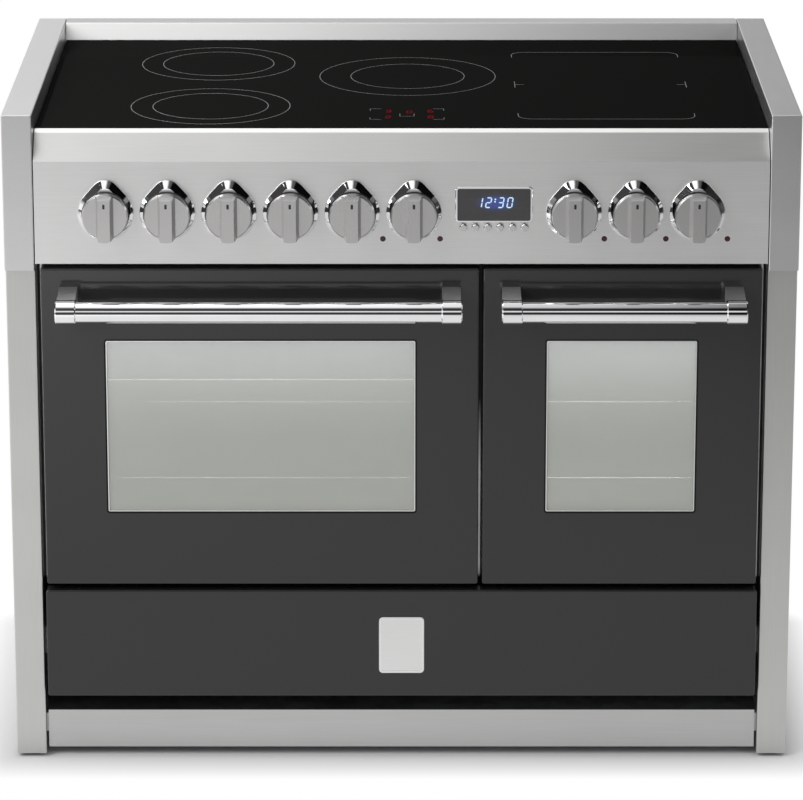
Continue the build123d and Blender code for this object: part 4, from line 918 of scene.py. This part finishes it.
def add_drawer_plate():
    """A plain plate with a raised border in the middle of the drawer front."""
    middle_x = (DRAWER_LOW.x + DRAWER_HIGH.x) / 2
    middle_z = (DRAWER_LOW.z + DRAWER_HIGH.z) / 2 - PLATE_DROP
    x = (middle_x - PLATE_HALF_WIDTH, middle_x + PLATE_HALF_WIDTH)
    z = (middle_z - PLATE_HALF_HEIGHT, middle_z + PLATE_HALF_HEIGHT)
    plate = plates("drawer_plate", [rounded_rectangle(x, z, PLATE_CORNER)], on_front(0.0), PLATE_THICK)
    add_piece("drawer_plate", plate, "panel_steel_painted_light", "drawer")
    border = loop(rounded_rectangle(drawn_in(x, RIM_INSET), drawn_in(z, RIM_INSET), RIM_CORNER))
    rim = bands("drawer_plate_rim", [border], RIM_WIDTH, on_front(-PLATE_THICK), RIM_THICK)
    add_piece("drawer_plate_rim", rim, "chrome", "drawer")


def screw_tree():
    """Geometry Nodes: a cross-head screw at each given point, with its head facing backwards."""
    tree = bpy.data.node_groups.new("screw_heads", "GeometryNodeTree")
    face = tree.interface
    face.new_socket("Geometry", in_out="OUTPUT", socket_type="NodeSocketGeometry")
    for name, kind in (
        ("Points", "NodeSocketGeometry"),
        ("Head Radius", "NodeSocketFloat"),
        ("Head Height", "NodeSocketFloat"),
        ("Finish", "NodeSocketMaterial"),
    ):
        face.new_socket(name, in_out="INPUT", socket_type=kind)
    given = tree.nodes.new("NodeGroupInput").outputs
    radius, height = given["Head Radius"], given["Head Height"]
    head = add(tree, "GeometryNodeMeshCone", {
        "Vertices": 24,
        "Radius Top": times(tree, radius, HEAD_TOP),
        "Radius Bottom": radius,
        "Depth": height,
    })
    long_side = times(tree, radius, CROSS_LENGTH)
    short_side = times(tree, radius, CROSS_WIDTH)
    lift = add(tree, "ShaderNodeCombineXYZ", {"Z": times(tree, height, CROSS_LIFT)}).outputs[0]
    cross = tree.nodes.new("GeometryNodeJoinGeometry")
    for across, along in ((long_side, short_side), (short_side, long_side)):
        size = add(tree, "ShaderNodeCombineXYZ", {"X": across, "Y": along, "Z": height}).outputs[0]
        arm = add(tree, "GeometryNodeMeshCube", {"Size": size})
        raised = add(tree, "GeometryNodeTransform", {"Geometry": arm.outputs["Mesh"], "Translation": lift})
        tree.links.new(raised.outputs["Geometry"], cross.inputs[0])
    cut = add(tree, "GeometryNodeMeshBoolean", {"Mesh 1": head.outputs["Mesh"]}, operation="DIFFERENCE")
    tree.links.new(cross.outputs[0], cut.inputs["Mesh 2"])
    heads = add(tree, "GeometryNodeInstanceOnPoints", {
        "Points": given["Points"],
        "Instance": cut.outputs["Mesh"],
        "Rotation": (-pi / 2, 0.0, 0.0),
    })
    real = add(tree, "GeometryNodeRealizeInstances", {"Geometry": heads.outputs["Instances"]})
    finish = add(tree, "GeometryNodeSetMaterial", {
        "Geometry": real.outputs["Geometry"],
        "Material": given["Finish"],
    })
    out = tree.nodes.new("NodeGroupOutput")
    tree.links.new(finish.outputs["Geometry"], out.inputs["Geometry"])
    return tree


def add_screws(name, tree, places, body):
    """Runs the screw tree over a body's screw places and keeps the result as one plain mesh."""
    points = bpy.data.meshes.new(f"{name}_points")
    points.from_pydata(places, [], [])
    holder = bpy.data.objects.new(f"{name}_points", points)
    bpy.context.scene.collection.objects.link(holder)
    modifier = holder.modifiers.new("screws", "NODES")
    modifier.node_group = tree
    keys = {item.name: item.identifier for item in tree.interface.items_tree if item.in_out == "INPUT"}
    modifier[keys["Head Radius"]] = SCREW_RADIUS
    modifier[keys["Head Height"]] = SCREW_HEIGHT
    modifier[keys["Finish"]] = MATERIALS["screw_zinc"]
    graph = bpy.context.evaluated_depsgraph_get()
    mesh = bpy.data.meshes.new_from_object(holder.evaluated_get(graph))
    mesh.name = name
    bpy.data.objects.remove(holder)
    bpy.data.meshes.remove(points)
    add_piece(name, mesh, "screw_zinc", body)


def spaced(low, high, count):
    """Evenly spaced places from low to high."""
    return [low + (high - low) * i / (count - 1) for i in range(count)]


def rear_screw_places():
    """Along the edges of the back sheet and near the corners of the terminal cover."""
    sheet = REAR_HIGH.y + SHEET_STAND_OFF
    left, right = drawn_in((REAR_LOW.x, REAR_HIGH.x), SCREW_INSET)
    top = REAR_HIGH.z - SCREW_INSET
    heights = spaced(REAR_LOW.z + LOW_END_SPACE, top - TOP_END_SPACE, SIDE_SCREWS)
    places = [(x, sheet, z) for x in (left, right) for z in heights]
    places += [(x, sheet, top) for x in spaced(left + TOP_END_SPACE, right - TOP_END_SPACE, TOP_SCREWS)]
    low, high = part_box("terminal_box")
    cover = high.y + COVER_STAND_OFF
    foot = high.z - TERMINAL_COVER
    middle_x, middle_z = (low.x + high.x) / 2, (foot + high.z) / 2
    for x in (low.x, high.x):
        for z in (foot, high.z):
            places.append((x + (middle_x - x) * COVER_SCREW_X, cover, z + (middle_z - z) * COVER_SCREW_Z))
    return places


def liner_screw_places(side):
    """Round the window on the inner face of a door."""
    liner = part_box(f"{side}_door_liner")[1].y + SHEET_STAND_OFF
    low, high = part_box(f"{side}_door_glass")
    left, right = drawn_in((low.x, high.x), -SCREW_INSET)
    foot, top = drawn_in((low.z, high.z), -SCREW_INSET)
    places = [(x, liner, z) for x in (left, right) for z in (foot, (foot + top) / 2, top)]
    return places + [((left + right) / 2, liner, z) for z in (foot, top)]


def add_all_screws():
    """Screws of the back sheet, the terminal cover and the door liners."""
    tree = screw_tree()
    add_screws("rear_screws", tree, rear_screw_places(), "cabinet")
    for side in ("left", "right"):
        add_screws(f"{side}_liner_screws", tree, liner_screw_places(side), f"{side}_door")


def put_on_stage(name, mesh, finish):
    """A surface of the studio that isn't part of the cooker."""
    mesh.materials.append(MATERIALS[finish])
    surface = bpy.data.objects.new(name, mesh)
    bpy.context.scene.collection.objects.link(surface)
    return surface


def seen_rays(tree):
    """The Light Path outputs, and the share of rays that show the background, in polish and glass too."""
    path = tree.nodes.new("ShaderNodeLightPath").outputs
    direct = math(tree, "MAXIMUM", path["Is Camera Ray"], path["Is Glossy Ray"])
    return path, math(tree, "MAXIMUM", direct, path["Is Transmission Ray"])


def make_floor_paper():
    """White paper that takes the cooker's shadow close by, where it is also painted a darker grey as painted
    shadow, and is plain white further off.

    Polished metal sees it brighter on the left than on the right, more so further off, and then dim.
    """
    tree, position = start_material("floor_paper")
    folded = vectors(tree, "ABSOLUTE", position)["Vector"]
    past = vectors(tree, "SUBTRACT", folded, FOOTPRINT)["Vector"]
    outside = vectors(tree, "MAXIMUM", past)["Vector"]
    away = vectors(tree, "LENGTH", outside)["Value"]
    path, seen = seen_rays(tree)
    # Painted shadow: the paper near the cooker is grey, turning white over the shadow reach
    tone = blend_colours(tree, noise(tree, position, 1.5), grey(0.70), grey(0.74))
    paper = add(tree, "ShaderNodeBsdfPrincipled", {
        "Base Color": tone,
        "Roughness": 0.9,
        "Specular IOR Level": 0.1,
    })
    across = axes(tree, position)["X"]
    left_to_right = spread(tree, across, -0.9, 0.9, 0.48, -0.50)
    far_right = spread(tree, across, 1.2, 2.0, 0.0, 0.25)
    slope = times(tree, plus(tree, left_to_right, far_right), spread(tree, away, 0.8, 2.2, 0.25, 1.0))
    distance = spread(tree, away, 2.6, 5.0, 1.0, 0.1)
    mirrored = times(tree, distance, plus(tree, 0.85, slope))
    glow = blend_colours(tree, path["Is Glossy Ray"], WHITE, mirrored)
    white = add(tree, "ShaderNodeEmission", {"Color": glow, "Strength": 1.0})
    share = times(tree, seen, rising(tree, away, (0.0, SHADOW_REACH)))
    mix = add(tree, "ShaderNodeMixShader", {0: share, 1: paper.outputs[0], 2: white.outputs[0]})
    close_material(tree, mix.outputs[0])


def make_room_light():
    """The room as polished metal shows it: bright above, behind and on the left, unlit behind the camera.

    Places in it are shares of its radius: X to the right, Y to the back, Z up.
    """
    tree, position = start_material("room_light")
    place = axes(tree, stretched(tree, position, (1 / ROOM_RADIUS,) * 3))
    x, y, z = place["X"], place["Y"], place["Z"]
    bright_left = spread(tree, x, -0.2, 0.0, 1.08, 0.72)
    dark_right = spread(tree, x, 0.0, 0.14, 0.0, 0.64)
    ceiling = math(tree, "SUBTRACT", bright_left, dark_right)
    back_wall = spread(tree, x, -0.2, 0.2, 0.95, 0.335)
    back = rising(tree, y, (0.3, 0.6))
    ahead = math(tree, "SUBTRACT", 1.0, back)
    level = plus(tree, times(tree, back, back_wall), times(tree, ahead, ceiling))
    aside = between(tree, math(tree, "ABSOLUTE", x), (0.42, 0.92), 0.06)
    shoulder = times(tree, aside, between(tree, z, (0.24, 0.88), 0.04))
    level = times(tree, level, ramp(tree, shoulder, (1.0, 0.05)))
    front = falling(tree, y, (-0.5, -0.1))
    under_ceiling = falling(tree, z, (0.78, 0.92))
    off_left = rising(tree, x, (-0.8, -0.3))
    unlit = times(tree, times(tree, front, under_ceiling), off_left)
    level = times(tree, level, ramp(tree, unlit, (1.0, 0.06)))
    level = times(tree, level, spread(tree, z, 0.85, 0.95, 1.0, 1.45))
    behind = times(tree, rising(tree, y, (0.1, 0.35)), spread(tree, z, 0.7, 0.85, 0.0, 1.2))
    front_strip = times(tree, between(tree, z, (0.34, 0.50), 0.03), times(tree, front, 0.8))
    level = plus(tree, level, plus(tree, behind, front_strip))
    close_material(tree, add(tree, "ShaderNodeEmission", {"Color": level, "Strength": 1.0}).outputs[0])


def add_stage():
    """A white floor, and the room as mirrors see it."""
    make_floor_paper()
    make_room_light()
    reach = FLOOR_REACH
    square = [(-reach, -reach, 0.0), (reach, -reach, 0.0), (reach, reach, 0.0), (-reach, reach, 0.0)]
    mesh = bpy.data.meshes.new("floor")
    mesh.from_pydata(square, [], [(0, 1, 2, 3)])
    put_on_stage("floor", mesh, "floor_paper")
    work = bmesh.new()
    bmesh.ops.create_uvsphere(work, u_segments=64, v_segments=32, radius=ROOM_RADIUS)
    mesh = bpy.data.meshes.new("room")
    work.to_mesh(mesh)
    work.free()
    room = put_on_stage("room", mesh, "room_light")
    room.visible_camera = False
    room.visible_diffuse = False
    room.visible_transmission = False
    room.visible_shadow = False


def add_light(name, place, target, size, power, tint=(1.0, 1.0, 1.0)):
    """A soft lamp that looks at a point."""
    data = bpy.data.lights.new(name, "AREA")
    data.shape = "RECTANGLE"
    data.size, data.size_y = size
    data.energy = power
    data.color = tint
    lamp = bpy.data.objects.new(name, data)
    lamp.location = place
    lamp.rotation_euler = (Vector(target) - Vector(place)).to_track_quat("-Z", "Y").to_euler()
    bpy.context.scene.collection.objects.link(lamp)
    return lamp


def add_lamps():
    """Soft studio lamps, strongest from the upper left, a low one for the upstand, and one in each oven."""
    add_light("key", place=(-2.4, -2.2, 2.6), target=(-0.1, -0.1, 0.5), size=(2.0, 2.4), power=70.0)
    for side in ("left", "right"):
        low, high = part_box(f"{side}_oven_cavity")
        place = ((low.x + high.x) / 2, low.y + OVEN_LAMP_BACK, high.z - OVEN_LAMP_DROP)
        target = (place[0], place[1] + 0.1, 0.0)
        size = (high.x - low.x - OVEN_LAMP_MARGIN, OVEN_LAMP_DEPTH)
        add_light(f"{side}_oven_lamp", place, target, size, power=1.5, tint=(1.0, 0.95, 0.88))
    add_light("fill", place=(2.6, -2.6, 1.8), target=(0.1, -0.2, 0.5), size=(1.6, 2.0), power=16.0)
    low_left = add_light(
        "low_left", place=(-0.5, -1.0, 1.0), target=(-0.45, GLASS_BACK, 1.25), size=(0.2, 0.2), power=7.0,
    )
    low_left.data.spread = radians(76)
    low_left.visible_glossy = False
    low_left.visible_camera = False


def add_world():
    """An even soft light from all sides, seen as white."""
    world = bpy.data.worlds.new("studio")
    bpy.context.scene.world = world
    world.use_nodes = True
    tree = world.node_tree
    tree.nodes.clear()
    seen = seen_rays(tree)[1]
    white = add(tree, "ShaderNodeBackground", {"Color": WHITE, "Strength": 1.0})
    soft = add(tree, "ShaderNodeBackground", {"Color": rgb(0.97, 0.98, 1.0), "Strength": 0.62})
    mix = add(tree, "ShaderNodeMixShader", {0: seen, 1: soft.outputs[0], 2: white.outputs[0]})
    add(tree, "ShaderNodeOutputWorld", {"Surface": mix.outputs[0]})


def add_camera():
    """The photograph's view: straight from the front, from above."""
    data = bpy.data.cameras.new("camera")
    data.sensor_width = CAMERA_SENSOR
    data.lens = CAMERA_LENS
    data.shift_y = CAMERA_SHIFT
    camera = bpy.data.objects.new("camera", data)
    camera.location = CAMERA_PLACE
    camera.rotation_euler = (pi / 2 - CAMERA_PITCH, 0.0, 0.0)
    bpy.context.scene.collection.objects.link(camera)
    bpy.context.scene.camera = camera


make_finishes()
dress_nodes()
add_hob_print()
add_touch_field()
add_clock_digits()
add_knob_shade_rings()
add_knob_marks()
add_window_trims()
add_drawer_plate()
add_all_screws()
add_stage()
add_lamps()
add_world()
add_camera()
bpy.context.scene.view_settings.view_transform = "Standard"
